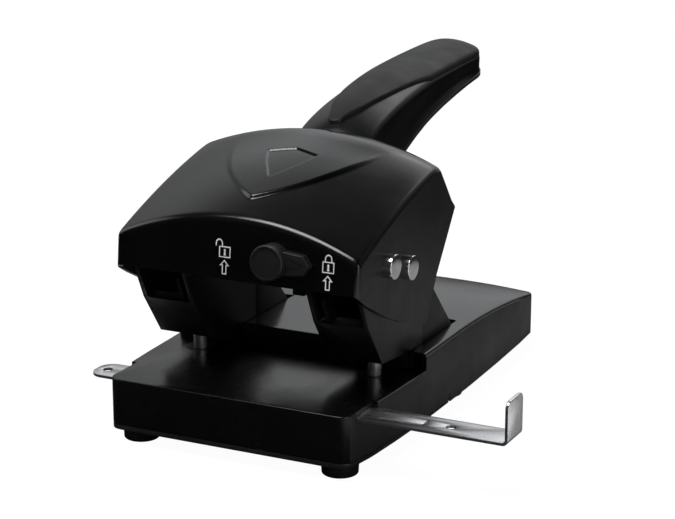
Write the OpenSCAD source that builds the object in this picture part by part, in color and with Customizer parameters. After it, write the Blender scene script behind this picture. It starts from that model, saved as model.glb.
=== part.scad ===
// Heavy-duty two-hole lever punch, shown locked down.
// Origin: on the desk, midway between the two punch axes. +Y runs to the
// rear, along the handle; +X is to the right; +Z is up. Millimetres.

/* [Overall] */
// Distance between the two punched holes
hole_spacing = 80; // [70:1:100]
// Reach of the table in front of the punches
front_reach = 51.2; // [50:0.2:62]
// Length of the base from front to rear
base_len = 195; // [160:1:240]
// Height of the table above the desk
table_z = 27; // [24:0.5:36]

/* [Base] */
// Width by which the base stands out beside each punch frame
base_margin = 6.9; // [5.5:0.1:12]
// Amount by which the base is narrower at its front and rear ends
side_bulge = 3.7; // [0:0.1:6]
// Radius of the upright corners of the base
corner_r = 5.5; // [3:0.5:10]
// Thickness of the base walls
wall = 2.2; // [1.6:0.1:3]
// Thickness of the table plate
table_t = 1.8; // [1.4:0.1:2.6]
// Distance from the hole centres to the paper stop
stop_y = 12; // [10:0.5:14]
// Height of the side walls above the table behind the stop
rear_rise = 6; // [4:0.5:10]
// Drop of the side walls from the frames to the rear end
rear_drop = 10; // [4:0.5:14]
// Crown of the rear cover above its edges
cover_crown = 1.4; // [0.5:0.1:3]
// Thickness of the cover at its edges
cover_edge = 1.1; // [0.8:0.1:2]

/* [Feet and tray] */
// Diameter of a rubber foot
foot_d = 15; // [10:0.5:20]
// Height of a rubber foot
foot_h = 5.9; // [4:0.1:8]
// Height of the tray rim at the front of the base
rim_h = 2.4; // [1.5:0.1:4]
// Distance of the tray hinge behind the hole centres
hinge_y = 37; // [32:0.5:44]
// Diameter of the tray hinge pins
hinge_d = 3; // [2:0.5:4]
// Height of the inner wall that keeps the chips in
chip_wall_h = 8; // [5:0.5:12]

/* [Punches] */
// Diameter of the punched hole
punch_d = 5.5; // [4.5:0.1:7]
// Diameter of the sliding punch head
head_d = 14; // [12:0.5:16]
// Wire thickness of the return springs
spring_wire = 1.3; // [0.8:0.1:1.6]
// Turns of a return spring
spring_turns = 7; // [5:1:9]
// Outer diameter of the die bushes in the table
die_d = 12; // [10:0.5:16]

/* [Punch frames] */
// Distance from a hole centre to the inner face of its frame
cheek_in = 13.5; // [12:0.1:16]
// Distance from a hole centre to the outer face of its frame
cheek_out = 10.3; // [10:0.1:14]
// Thickness of the frame walls
cheek_t = 2; // [1.5:0.1:2.5]
// Throat height above the table at the paper stop
throat_h = 7.4; // [6:0.2:9]

/* [Lever] */
// Diameter of the fulcrum and drive shafts
shaft_d = 6; // [4.5:0.1:8]
// Diameter of the polished shaft heads
shaft_head_d = 10; // [9:0.5:14]
// Height by which the shaft heads stand proud of the hood
shaft_head_h = 4; // [2:0.5:6]
// Height of the fulcrum above the table
fulcrum_rise = 51; // [48:0.5:54]
// Distance of the fulcrum in front of the hole centres
fulcrum_back = 16.7; // [15:0.1:18]
// Drop of the drive shaft below the fulcrum
drive_drop = 4.6; // [3:0.1:6]
// Angle through which the handle lifts
lift_angle = 30; // [15:1:30]
// Thickness of the steel lever plates
lever_t = 2; // [1.5:0.1:3]
// Half width of the steel lever over its plates
lever_hw = 12.5; // [11:0.5:13]

/* [Hood and handle] */
// Gap between the punch frames and the hood walls
hood_gap = 0.9; // [0.5:0.1:2]
// Thickness of the hood
hood_t = 2; // [1.5:0.1:2.5]
// Height of the hood roof arch over its width
hood_arch = 10.8; // [6:0.2:14]
// Half width of the handle at its neck
neck_hw = 17; // [16.5:0.5:20]
// Half width of the handle at its grip
grip_hw = 15.5; // [15.5:0.5:20]
// Thickness of the handle shell
handle_t = 2.1; // [1.5:0.1:2.5]
// Thickness of the soft grip pad
pad_t = 1.8; // [0.8:0.1:2]
// Distance of the handle end behind the hole centres
handle_end = 177.8; // [165:0.2:200]

/* [Lock knob] */
// Distance of the knob to the right of the middle
knob_x = 17.5; // [10:0.5:18]
// Height of the knob axis above the table
knob_rise = 55; // [54:0.5:57]
// Diameter of the knob
knob_d = 14; // [12:0.5:16]
// Height of the knob above the hood front
knob_h = 7.6; // [5:0.2:10]
// Reach of the pointer from the knob axis
pointer_len = 16.4; // [12:0.2:20]
// Diameter of the knob spindle
spindle_d = 6; // [4:0.5:7]

/* [Paper guide] */
// Width of the guide strip
guide_w = 15; // [10:0.5:18]
// Thickness of the guide strip
guide_t = 1.2; // [0.8:0.1:1.6]
// Distance of the stop face from the middle as shown
guide_set = 113.8; // [100:0.1:120]
// Length of the strip to the left of the middle
guide_tail = 67; // [62:0.5:80]
// Height of the turned-up stop above the table
guide_hook = 14; // [8:0.5:20]
// Distance of the strip behind the front of the base
guide_inset = 6.7; // [5:0.1:10]

/* [Clearances] */
// Radial clearance of a turning or sliding fit
fit = 0.05; // [0.02:0.01:0.1]
// Gap between neighbouring parts that only pass each other
gap = 0.3; // [0.2:0.05:0.5]

/* [Hidden] */

black = [0.05, 0.05, 0.055];
satin = [0.10, 0.10, 0.105];
steel = [0.75, 0.76, 0.78];
dark_steel = [0.35, 0.35, 0.37];
nickel = [0.80, 0.80, 0.82];
rubber = [0.08, 0.08, 0.08];

hole_half = hole_spacing / 2;
frame_in = hole_half - cheek_in;
frame_out = hole_half + cheek_out;
base_hw = frame_out + base_margin;
front_y = -front_reach;
rear_y = base_len - front_reach;
belly_y = 20;
fulcrum_y = -fulcrum_back;
fulcrum_z = table_z + fulcrum_rise;
drive_y = -0.3;
drive_z = fulcrum_z - drive_drop;
arm_y = drive_y - fulcrum_y;
shaft_r = shaft_d / 2;
punch_r = punch_d / 2;
// Rise of the drive shaft, and so of the punches, over the whole lift
stroke = arm_y * sin(lift_angle) + drive_drop * (1 - cos(lift_angle));
slot_r = shaft_r + 0.5;
bolt_r = 2;
bolt_head_r = 3.8;
bolt_head_h = 2.4;
table_under = table_z - table_t;
plate_t = 2;
eps = 0.01;

// Rear part of the base
shoulder_y = 49;
table_end = 62;
divider_y = 42;
tray_end = 40.5;
rim_end = 36;
rim_step = 38;
hinge_z = foot_h + hinge_d / 2 + 0.8;
seam_front = foot_h + rim_h;
seam_rear = foot_h + 1.1;

// Feet, and the chip tray with its hinge ears
foot_x = frame_out - 5.8;
front_foot_y = front_y + 11;
middle_foot_y = 61.8;
rear_foot_y = rear_y - 26;
rear_foot_x = foot_x - 12.5;
tray_inset = wall + 0.6;
tray_floor_t = 1.4;
ear_t = 2;
ear_r = hinge_d / 2 + 1.8;

// Punch frame outline, as y and height above the table
nose = [-27.3, 27.9];
chin = [-14.5, 10];
brow = [-32.2, 38.4];
temple = [-34.5, 43.5];
foot_y = stop_y + 2.8;
seam_y = foot_y + 9;
crown_y = 2;
crown_h = fulcrum_rise + 11;
back_h = 39;
gusset_toe = 58.1;
floor_top = 13;
frame_foot_t = 3;

// Bar between the two punch frames, which the lock holds on to
tie_y = -31;
tie_z = table_z + 43.6;
tie_r = 2.4;

// Places of the upright bolts on the right-hand side
post_r = 4.5;
post_places = [[frame_out - post_r, middle_foot_y + 14], [frame_out - 10, rear_y - 13]];
post_bolt_l = 7;
frame_bolt_places = [[hole_half - 7.5, seam_y - 4.3], [hole_half + 4.5, seam_y - 4.3]];
gusset_bolt_places = [[hole_half - 1.6, 34], [hole_half - 1.6, 50]];

// Punch pins with their bushes, springs and heads
bush_r = 5;
bush_flange_r = 7;
bush_top = table_z + floor_top + 1.6;
seat_t = 1.6;
head_low = drive_z - 7.8;
head_high = drive_z + 7;
seat_z = head_low - seat_t;
pin_low = table_z - 1.4;
pin_high = drive_z - slot_r - 0.5;
spring_gap = 1.9;
spring_mean_r = punch_r + spring_gap + spring_wire / 2;
seat_r = spring_mean_r + spring_wire / 2 + 0.65;
spring_sides = 6;
spring_steps = 8;
spring_low = bush_top + spring_wire / 2;
spring_high = seat_z - spring_wire / 2;
end_pitch = spring_wire + 0.5;
mid_pitch = (spring_high - spring_low - 2 * end_pitch) / (spring_turns - 2);

// Guide strip
guide_front = front_y + guide_inset;
guide_back = guide_front + guide_w;
guide_top = table_under - 0.2;
guide_low = guide_top - guide_t;
hook_x = guide_set + guide_t;
hook_r = 3;
guide_hole_r = 2;
tongue = [61, 79.5];
tongue_hw = 2.5;
tongue_slot = 0.9;
channel_x = hole_half + 6;
channel_t = 1.6;
channel_bolt_x = hole_half / 2;
channel_bolt_y = guide_back + 5.4;
channel_screw_r = 1.5;

// Hood
hood_in = frame_out + hood_gap;
hood_hw = hood_in + hood_t;
front_lean = 6.1;
roof_pitch = 17;
front_foot = [-42.8, table_z + 45.2];
roof_front = [-41.5, table_z + 57.6];
roof_crest = [31.6, table_z + 80];
roof_rear = [39.1, table_z + 73];
roof_r = (hood_hw * hood_hw + hood_arch * hood_arch) / (2 * hood_arch);
knob_z = table_z + knob_rise;
knob_y = front_foot[0] + (knob_z - front_foot[1]) * tan(front_lean);
cam_t = 2;
cam_len = 3.7;

// Handle outlines, as y and height above the table
top_curve = [[38, 86.8], [47, 100], [106, 106], [165, 106.6]];
low_curve = [[46, 54.5], [70, 70.5], [103, 84.5], [165, 90]];
handle_front = 14;
underside_t = 1.6;
screw_y = [100, 122];
screw_r = 2;
// Top edge of the steel channel in the handle
web_line = [[-14, 60], [10, 66.5], [40, 79.5], [60, 88.5], [90, 95], [130, 97]];
end_r = grip_hw - 0.5;

function sq(v) = v * v;

// Half width of the base, bulging between its ends
function half_w(y) =
    y < belly_y
        ? base_hw - side_bulge * sq((y - belly_y) / (belly_y - front_y))
        : base_hw - side_bulge * sq((y - belly_y) / (rear_y - belly_y));

// Height of the side wall's top edge behind the paper stop
function seam_z(y) =
    table_z + rear_rise
    - rear_drop * pow(max(0, y - shoulder_y) / (rear_y - shoulder_y), 1.8);

function bezier(p, t) =
    pow(1 - t, 3) * p[0] + 3 * sq(1 - t) * t * p[1]
    + 3 * (1 - t) * sq(t) * p[2] + pow(t, 3) * p[3];

function bezier_points(p, n) = [for (i = [0:n]) bezier(p, i / n)];

function raised(points, dy, dz) = [for (p = points) [p[0] + dy, p[1] + dz]];

function reversed(v) = [for (i = [len(v) - 1:-1:0]) v[i]];

// Right-hand half of the base outline, from front to rear, moved in by inset
function right_side(inset) =
    let (r = corner_r - min(inset, corner_r - 0.6),
         fy = front_y + inset, ry = rear_y - inset,
         fx = half_w(fy) - inset, rx = half_w(ry) - inset)
    concat(
        [for (a = [-90:15:0]) [fx - r + r * cos(a), fy + r + r * sin(a)]],
        [for (i = [1:11]) let (y = fy + r + (ry - fy - 2 * r) * i / 12)
            [half_w(y) - inset, y]],
        [for (a = [0:15:90]) [rx - r + r * cos(a), ry - r + r * sin(a)]]);

function mirrored(points) = [for (p = points) [-p[0], p[1]]];

// Height above the table of a line at a place along it
function line_z(line, y) = lookup(y, line);

function web_z(y) = line_z(web_line, y);

// Height of the tops of the posts that carry the rear cover
function post_top(y) = seam_z(y) - 9;

ear_in = half_w(hinge_y) - tray_inset - ear_t;
top_line = concat([[handle_front, 75]], bezier_points(top_curve, 12), [[185, 104.2]]);
low_line = concat([[handle_front, 36], [30, 45]], bezier_points(low_curve, 12), [[185, 94]]);

module base_outline(inset = 0) {
    side = right_side(inset);
    polygon(concat(side, reversed(mirrored(side))));
}

module base_block(inset, z0, z1) {
    translate([0, 0, z0])
        linear_extrude(z1 - z0)
            base_outline(inset);
}

// Side view, in y and z, extruded from x0 to x1
module across(x0, x1) {
    rotate([90, 0, 90])
        translate([0, 0, x0])
            linear_extrude(x1 - x0)
                children();
}

module rod_x(x0, x1, y, z, r) {
    translate([x0, y, z])
        rotate([0, 90, 0])
            cylinder(r = r, h = x1 - x0, $fn = 48);
}

module rod_z(x, y, z0, z1, r) {
    translate([x, y, z0])
        cylinder(r = r, h = z1 - z0, $fn = 48);
}

module on_both_sides() {
    children();
    mirror([1, 0, 0])
        children();
}

module box(low, high) {
    translate(low)
        cube(high - low);
}

// ---------------------------------------------------------------- base

module wall_profile() {
    steps = 14;
    polygon(concat(
        [[front_y - 1, seam_front], [rim_step, seam_rear], [rim_step, foot_h],
         [rear_y + 1, foot_h]],
        [for (i = [steps:-1:0])
            let (y = stop_y + 0.8 + (rear_y + 1 - stop_y - 0.8) * i / steps)
            [y, seam_z(min(y, rear_y))]],
        [[stop_y + 0.8, table_z], [front_y - 1, table_z]]));
}

module post(place) {
    rod_z(place[0], place[1], foot_h + plate_t, post_top(place[1]), post_r);
    box([place[0], place[1] - 1, foot_h + plate_t],
        [half_w(place[1]) - wall + 0.5, place[1] + 1, post_top(place[1])]);
}

module base_shell() {
    color(black)
    difference() {
        union() {
            intersection() {
                difference() {
                    base_block(0, foot_h, seam_z(stop_y) + 1);
                    base_block(wall, foot_h - 1, seam_z(stop_y) + 2);
                }
                across(-base_hw - 1, base_hw + 1)
                    wall_profile();
            }
            intersection() {
                base_block(wall / 2, table_under, table_z);
                box([-base_hw, front_y - 1, 0], [base_hw, table_end, table_z + 1]);
            }
            intersection() {
                base_block(wall / 2, foot_h, table_under + eps);
                box([-base_hw, divider_y, 0], [base_hw, divider_y + wall, table_z]);
            }
            on_both_sides()
                for (place = post_places)
                    post(place);
        }
        on_both_sides() {
            // slot for the paper guide, open above the strip
            box([half_w(guide_front) - wall - 1, guide_front - gap, guide_low - 0.2],
                [base_hw + 1, guide_back + gap, table_under]);
            box([half_w(guide_front) - 1.2, guide_front - gap, guide_low - 0.2],
                [base_hw + 1, guide_back + gap, table_z + 1]);
            rod_z(hole_half, 0, table_under - 1, table_z + 1, die_d / 2);
            for (place = concat(frame_bolt_places, gusset_bolt_places))
                rod_z(place[0], place[1], table_under - 1, table_z + 1, bolt_r + fit);
            for (place = post_places)
                rod_z(place[0], place[1], 0, table_z + 20, bolt_r + fit);
            rod_z(channel_bolt_x, channel_bolt_y, table_under - 1, table_z - 0.8,
                  channel_screw_r + fit);
            rod_x(half_w(hinge_y) - wall - 1, base_hw + 1, hinge_y, hinge_z, hinge_d / 2);
        }
    }
}

// One upright slice of the cover, highest over the middle two thirds
module cover_slice(y) {
    half = half_w(y);
    edge = seam_z(y) + cover_edge;
    translate([0, y, 0])
        rotate([90, 0, 0])
            linear_extrude(eps)
                polygon([[-half, table_z - 8], [-half, edge],
                         [-half * 2 / 3, edge + cover_crown], [half * 2 / 3, edge + cover_crown],
                         [half, edge], [half, table_z - 8]]);
}

module rear_cover() {
    pocket_in = frame_in - gap;
    pocket_out = frame_out + gap;
    rest_y = [stop_y + 1, shoulder_y, 65, 80, 95, 110, 125];
    color(black)
    difference() {
        intersection() {
            hull() {
                for (y = [for (v = rest_y) if (v < rear_y - 12) v])
                    cover_slice(y);
                cover_slice(rear_y - 9);
                cover_slice(rear_y);
            }
            base_block(0.4, table_z - 8, table_z + 30);
            union() {
                across(-base_hw, base_hw)
                    polygon(concat(
                        [for (i = [0:14]) let (y = stop_y + 0.8 + (rear_y - stop_y) * i / 14)
                            [y, seam_z(min(y, rear_y)) + 0.15]],
                        [[rear_y + 1, table_z + 30], [stop_y + 0.8, table_z + 30]]));
                box([-frame_in + gap, stop_y, table_z], [frame_in - gap, stop_y + 2, table_z + 30]);
                on_both_sides()
                    for (place = post_places)
                        rod_z(place[0], place[1], post_top(place[1]), seam_z(place[1]) + 0.5, post_r);
            }
        }
        on_both_sides() {
            box([pocket_in, stop_y - 1, table_z - 1], [pocket_out, gusset_toe + gap, table_z + 40]);
            for (place = post_places)
                rod_z(place[0], place[1], post_top(place[1]) - 1,
                      post_top(place[1]) + post_bolt_l, bolt_r);
        }
    }
}

module bottom_plate() {
    color(satin)
    difference() {
        intersection() {
            base_block(wall + 0.2, foot_h, foot_h + plate_t);
            box([-base_hw, divider_y + wall + 0.2, 0], [base_hw, rear_y, table_z]);
        }
        on_both_sides()
            for (place = post_places)
                rod_z(place[0], place[1], 0, table_z, bolt_r + fit);
    }
}

module cover_bolts() {
    color(dark_steel)
    on_both_sides()
        for (place = post_places) {
            rod_z(place[0], place[1], foot_h - eps,
                  post_top(place[1]) + post_bolt_l - eps, bolt_r - eps);
            rod_z(place[0], place[1], foot_h - bolt_head_h, foot_h, bolt_head_r);
        }
}

// ---------------------------------------------------------------- punch frames

module frame_profile() {
    polygon([[temple[0], table_z + temple[1]], [brow[0], table_z + brow[1]],
             [nose[0], table_z + nose[1]], [chin[0], table_z + chin[1]],
             [foot_y, table_z + throat_h], [foot_y, table_z], [seam_y, table_z],
             [seam_y, table_z + back_h], [crown_y, table_z + crown_h],
             [fulcrum_y, table_z + crown_h - 0.5], [fulcrum_y - 8, table_z + fulcrum_rise + 6]]);
}

module cheek(x0) {
    difference() {
        across(x0, x0 + cheek_t)
            frame_profile();
        rod_x(x0 - 1, x0 + cheek_t + 1, fulcrum_y, fulcrum_z, shaft_r + fit);
        across(x0 - 1, x0 + cheek_t + 1) {
            translate([drive_y + 0.3, drive_z - 0.3])
                circle(r = slot_r, $fn = 48);
            translate([drive_y + 0.3, drive_z + stroke + 0.3])
                circle(r = slot_r, $fn = 48);
            translate([drive_y + 0.3 - slot_r, drive_z - 0.3])
                square([2 * slot_r, stroke + 0.6]);
        }
    }
}

module punch_frame() {
    inner = frame_in + cheek_t - eps;
    outer = frame_out - cheek_t + eps;
    difference() {
        union() {
            cheek(frame_in);
            cheek(frame_out - cheek_t);
            across(inner, outer) {
                // sloped front plate, with the shelf above it
                polygon([[nose[0], table_z + nose[1]], [chin[0], table_z + chin[1]],
                         [chin[0] + 2.6, table_z + chin[1]], [nose[0] + 3, table_z + nose[1] - 1.6],
                         [nose[0] + 10, table_z + nose[1] - 1.6], [nose[0] + 10, table_z + nose[1]]]);
                // floor that guides the pin
                polygon([[chin[0], table_z + chin[1]], [foot_y, table_z + throat_h],
                         [foot_y, table_z + floor_top], [chin[0], table_z + floor_top]]);
                // foot plate: its front face is the paper stop
                polygon([[stop_y, table_z], [seam_y, table_z], [seam_y, table_z + frame_foot_t],
                         [foot_y, table_z + frame_foot_t], [foot_y, table_z + floor_top],
                         [stop_y, table_z + floor_top]]);
                // rear web up to the fulcrum
                polygon([[seam_y - 2, table_z], [seam_y, table_z], [seam_y, table_z + back_h - 2],
                         [seam_y - 2, table_z + back_h - 2]]);
            }
            // upright rib in the mouth of the frame, beside the punch
            across(frame_in + 5, frame_in + 6.6)
                polygon([[brow[0] + 1.5, table_z + brow[1]], [nose[0] + 1.5, table_z + nose[1] - 0.5],
                         [nose[0] + 9, table_z + nose[1] - 0.5], [brow[0] + 7, table_z + brow[1]]]);
        }
        rod_z(hole_half, 0, table_z, table_z + floor_top + 1, bush_r);
        for (place = frame_bolt_places)
            rod_z(place[0], place[1], table_z - 1, table_z + 5, bolt_r + fit);
        rod_x(frame_in - 1, inner + 1, tie_y, tie_z, tie_r);
    }
}

module left_punch_frame() {
    color(satin)
    mirror([1, 0, 0])
        punch_frame();
}

module right_punch_frame() {
    color(satin)
    punch_frame();
}

module gusset() {
    x0 = frame_in;
    x1 = frame_out;
    top = table_z + back_h - 0.2;
    difference() {
        across(x0, x1)
            polygon([[seam_y, table_z], [seam_y, top],
                     [gusset_toe - 23.1, table_z + 27.5], [gusset_toe, table_z + 2.9],
                     [gusset_toe, table_z]]);
        across(x0 + cheek_t, x1 - cheek_t)
            polygon([[seam_y - 1, table_z + frame_foot_t], [seam_y - 1, top + 5],
                     [seam_y + 3, top - 5], [gusset_toe - 26.1, table_z + 25.5],
                     [gusset_toe - 5.4, table_z + frame_foot_t]]);
        for (place = gusset_bolt_places)
            rod_z(place[0], place[1], table_z - 1, table_z + 5, bolt_r + fit);
    }
}

module left_gusset() {
    color(satin)
    mirror([1, 0, 0])
        gusset();
}

module right_gusset() {
    color(satin)
    gusset();
}

module bolts_up(places, length) {
    on_both_sides()
        for (place = places) {
            rod_z(place[0], place[1], table_under - eps, table_under + length, bolt_r);
            rod_z(place[0], place[1], table_under - bolt_head_h, table_under, bolt_head_r);
        }
}

module frame_bolts() {
    color(dark_steel)
    bolts_up(frame_bolt_places, table_t + frame_foot_t - 0.2);
}

module gusset_bolts() {
    color(dark_steel)
    bolts_up(gusset_bolt_places, table_t + frame_foot_t - 0.2);
}

// Bar that ties the two punch frames together behind the hood front
module tie_bar() {
    color(dark_steel)
    rod_x(-frame_in - cheek_t, frame_in + cheek_t, tie_y, tie_z, tie_r);
}

// Steel finger on the right-hand frame that the lock cam reaches over
module lock_catch() {
    reach = knob_x + cam_len + gap + 0.1;
    color(dark_steel)
    difference() {
        box([reach, tie_y - 3.9, tie_z - 3.4], [frame_in, tie_y + 3.2, tie_z + 3.4]);
        rod_x(reach - 1, frame_in + 1, tie_y, tie_z, tie_r);
    }
}

// ---------------------------------------------------------------- punches

module die_bush(side) {
    color(steel)
    difference() {
        union() {
            rod_z(side * hole_half, 0, table_under - 0.5, table_z, die_d / 2);
            rod_z(side * hole_half, 0, table_under - 2.5, table_under, die_d / 2 + 1.8);
        }
        rod_z(side * hole_half, 0, table_under - 4, table_z + 1, punch_r + fit);
    }
}

module guide_bush(side) {
    color(steel)
    difference() {
        union() {
            rod_z(side * hole_half, 0, table_z + chin[1] + 0.4, bush_top, bush_r);
            rod_z(side * hole_half, 0, table_z + floor_top, bush_top, bush_flange_r);
        }
        rod_z(side * hole_half, 0, table_z, bush_top + 1, punch_r + fit);
    }
}

module punch_pin(side) {
    color(steel)
    rod_z(side * hole_half, 0, pin_low, pin_high, punch_r);
}

module spring_seat(side) {
    color(dark_steel)
    difference() {
        rod_z(side * hole_half, 0, seat_z, seat_z + seat_t, seat_r);
        rod_z(side * hole_half, 0, seat_z - 1, seat_z + seat_t + 1, punch_r);
    }
}

// Sliding head with the cross slot that the drive shaft works in
module punch_head(side) {
    x0 = side * hole_half;
    half_y = shaft_r + 0.75;
    half_z = shaft_r + 0.3;
    color(dark_steel)
    difference() {
        rod_z(x0, 0, head_low, head_high, head_d / 2);
        across(x0 - head_d, x0 + head_d) {
            for (dy = [-1, 1])
                translate([dy * (half_y - half_z), drive_z])
                    circle(r = half_z, $fn = 48);
            translate([half_z - half_y, drive_z - half_z])
                square([2 * (half_y - half_z), 2 * half_z]);
        }
        rod_z(x0, 0, head_low - 1, pin_high, punch_r);
    }
}

function spring_height(turn) =
    turn < 1 ? spring_low + end_pitch * turn
    : turn > spring_turns - 1 ? spring_high - end_pitch * (spring_turns - turn)
    : spring_low + end_pitch + mid_pitch * (turn - 1);

// Point on the middle line of a spring, and the least gap from turn to turn
spring_rings = spring_turns * spring_steps;

function spring_point(i) =
    let (turn = i / spring_steps)
    [spring_mean_r * cos(360 * turn), spring_mean_r * sin(360 * turn), spring_height(turn)];

least_gap = min([for (i = [0:spring_rings]) for (j = [i + spring_steps / 2:spring_rings])
    norm(spring_point(j) - spring_point(i)) - spring_wire]);
echo(least_gap = least_gap);

// Compression spring, as one tube along its own helix
module return_spring(side) {
    rings = spring_rings;
    points = [for (i = [0:rings]) for (j = [0:spring_sides - 1])
        let (turn = i / spring_steps, a = 360 * turn, b = 360 * j / spring_sides,
             r = spring_mean_r + spring_wire / 2 * cos(b))
        [side * hole_half + r * cos(a), r * sin(a), spring_height(turn) + spring_wire / 2 * sin(b)]];
    walls = [for (i = [0:rings - 1]) for (j = [0:spring_sides - 1])
        let (k = (j + 1) % spring_sides, p = i * spring_sides, q = p + spring_sides)
        each [[p + j, p + k, q + k], [p + j, q + k, q + j]]];
    first = [for (j = [1:spring_sides - 2]) [0, j + 1, j]];
    m = rings * spring_sides;
    last = [for (j = [1:spring_sides - 2]) [m, m + j, m + j + 1]];
    color(steel)
    polyhedron(points = points, faces = concat(walls, first, last));
}

// ---------------------------------------------------------------- lever

// Space below one plane of the arched roof, through a point of its side edge
module under_roof(edge, pitch, inset = 0) {
    y = edge[0] - sin(pitch) * (hood_arch - roof_r);
    z = edge[1] + cos(pitch) * (hood_arch - roof_r);
    translate([0, y, z])
        rotate([pitch - 90, 0, 0])
            translate([0, 0, -200])
                cylinder(r = roof_r - inset, h = 400, $fn = 180);
}

module hood_block(inset = 0) {
    intersection() {
        children();
        under_roof(roof_front, roof_pitch, inset);
        under_roof(roof_crest, -18, inset);
        under_roof(roof_rear, -52, inset);
    }
}

module hood_shell() {
    lean = tan(front_lean);
    top = table_z + 100;
    color(black)
    difference() {
        hood_block()
            across(-hood_hw, hood_hw)
                polygon([front_foot, [front_foot[0] + (top - front_foot[1]) * lean, top],
                         [49, top], [49, table_z + 59.1], [40, table_z + 47], [31, table_z + 35.1],
                         [20.8, table_z + 16.5], [-4.2, table_z + 24.7], [-18, table_z + 30.8],
                         [-35.2, table_z + 39.8], [-40.3, table_z + 42.9]]);
        hood_block(hood_t)
            across(-hood_in, hood_in)
                polygon([[front_foot[0] + hood_t - 5 * lean, front_foot[1] - 5],
                         [front_foot[0] + hood_t + (top - front_foot[1]) * lean, top],
                         [90, top], [90, table_z], [-20, table_z],
                         [front_foot[0] + hood_t - 5 * lean, table_z + 30]]);
        on_both_sides() {
            rod_x(hood_in - 1, hood_hw + 1, fulcrum_y, fulcrum_z, shaft_r + fit);
            rod_x(hood_in - 1, hood_hw + 1, drive_y, drive_z, shaft_r + fit);
        }
        // opening behind the crest, where the handle comes out
        box([-neck_hw - gap, roof_crest[0] + 5, table_z], [neck_hw + gap, 60, top]);
        at_knob()
            translate([0, 0, -10])
                cylinder(r = spindle_d / 2 + fit, h = 20, $fn = 48);
    }
}

// Handle seen from above, from the neck under the hood to the rounded end
module handle_plan(grow = 0, front = handle_front) {
    neck = neck_hw + grow;
    grip = grip_hw + grow;
    r = end_r + grow;
    round_y = handle_end - end_r;
    right = concat(
        [[neck, front], [neck, 50], [(neck + grip) / 2, 80], [grip, 105], [grip, 135]],
        [for (a = [0:15:90]) [r * cos(a), round_y + r * sin(a)]]);
    polygon(concat(right, reversed(mirrored(right))));
}

module handle_plan_block(grow = 0, front = handle_front) {
    linear_extrude(table_z + 130)
        handle_plan(grow, front);
}

// Side view between two heights above the lower line and below the top line
module handle_side(above_low, below_top) {
    translate([0, table_z])
        polygon(concat(raised(low_line, 0, above_low), reversed(raised(top_line, 0, -below_top))));
}

module handle_shell() {
    color(black)
    difference() {
        intersection() {
            across(-40, 40)
                handle_side(underside_t, pad_t);
            handle_plan_block();
        }
        intersection() {
            across(-40, 40)
                handle_side(-20, pad_t + handle_t);
            handle_plan_block(-handle_t, 0);
        }
    }
}

module handle_underside() {
    color(satin)
    difference() {
        union() {
            intersection() {
                across(-40, 40)
                    translate([0, table_z])
                        polygon(concat(low_line, reversed(raised(low_line, 0, underside_t - 0.05))));
                handle_plan_block(0.6);
                box([-40, 20, 0], [40, 200, table_z + 130]);
            }
            for (y = screw_y)
                rod_z(0, y, table_z + line_z(low_line, y) + 0.5, table_z + web_z(y) - 3.2, 5);
        }
        for (y = screw_y) {
            rod_z(0, y, 0, table_z + 130, screw_r + fit);
            rod_z(0, y, 0, table_z + line_z(low_line, y) + 3, 3.8);
        }
    }
}

module grip_pad() {
    tip_y = 43.5;
    right = concat(
        [[1.6, tip_y], [3.4, tip_y + 2.5], [5.6, tip_y + 8], [grip_hw - 5.2, 75],
         [grip_hw - 2.2, 98], [grip_hw - 0.6, 110], [grip_hw - 0.6, 135]],
        [for (a = [0:15:90]) [(end_r - 0.6) * cos(a), handle_end - end_r + (end_r - 0.6) * sin(a)]]);
    color(satin)
    intersection() {
        across(-40, 40)
            translate([0, table_z])
                polygon(concat(raised(top_line, 0, -pad_t), reversed(top_line)));
        linear_extrude(table_z + 130)
            polygon(concat(right, reversed(mirrored(right))));
    }
}

// Folded steel channel: two bored plates joined by a top web
module lever_channel() {
    plate = concat(
        [[-24, 44], [-25.4, 51], [-24, 56.5]],
        web_line,
        [[130, 93], [95, 85.5], [70, 75.5], [46, 60.5], [20, 51], [6, 39.5], [-8, 38.5], [-18, 41.5]]);
    color(dark_steel)
    difference() {
        across(-lever_hw, lever_hw)
            translate([0, table_z])
                polygon(plate);
        across(lever_t - lever_hw, lever_hw - lever_t)
            translate([0, table_z])
                polygon(concat([[-40, 0], [-40, 100], [8, 100], [8, 64]],
                               raised([for (i = [2:5]) web_line[i]], 0, -lever_t),
                               [[140, 95], [140, 0]]));
        for (y = screw_y)
            rod_z(0, y, table_z + 60, table_z + 130, screw_r + fit);
        rod_x(-lever_hw - 1, lever_hw + 1, fulcrum_y, fulcrum_z, shaft_r + fit);
        rod_x(-lever_hw - 1, lever_hw + 1, drive_y, drive_z, shaft_r + fit);
    }
}

module handle_screws() {
    color(dark_steel)
    for (y = screw_y) {
        low = table_z + line_z(low_line, y) + 3;
        rod_z(0, y, low - 2, low, 3.5);
        rod_z(0, y, low - eps, table_z + web_z(y) + 0.3, screw_r);
    }
}

module shaft(y, z) {
    color(steel)
    union() {
        rod_x(-hood_hw - shaft_head_h + 1, hood_hw + 0.1, y, z, shaft_r);
        rod_x(hood_hw + 0.1, hood_hw + shaft_head_h, y, z, shaft_head_d / 2);
    }
}

module end_cap(y, z) {
    color(steel)
    difference() {
        rod_x(-hood_hw - shaft_head_h, -hood_hw - 0.1, y, z, shaft_head_d / 2);
        rod_x(-hood_hw - shaft_head_h + 1, 0, y, z, shaft_r);
    }
}

module fulcrum_shaft() {
    shaft(fulcrum_y, fulcrum_z);
}

module fulcrum_end_cap() {
    end_cap(fulcrum_y, fulcrum_z);
}

module drive_shaft() {
    shaft(drive_y, drive_z);
}

module drive_end_cap() {
    end_cap(drive_y, drive_z);
}

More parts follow.
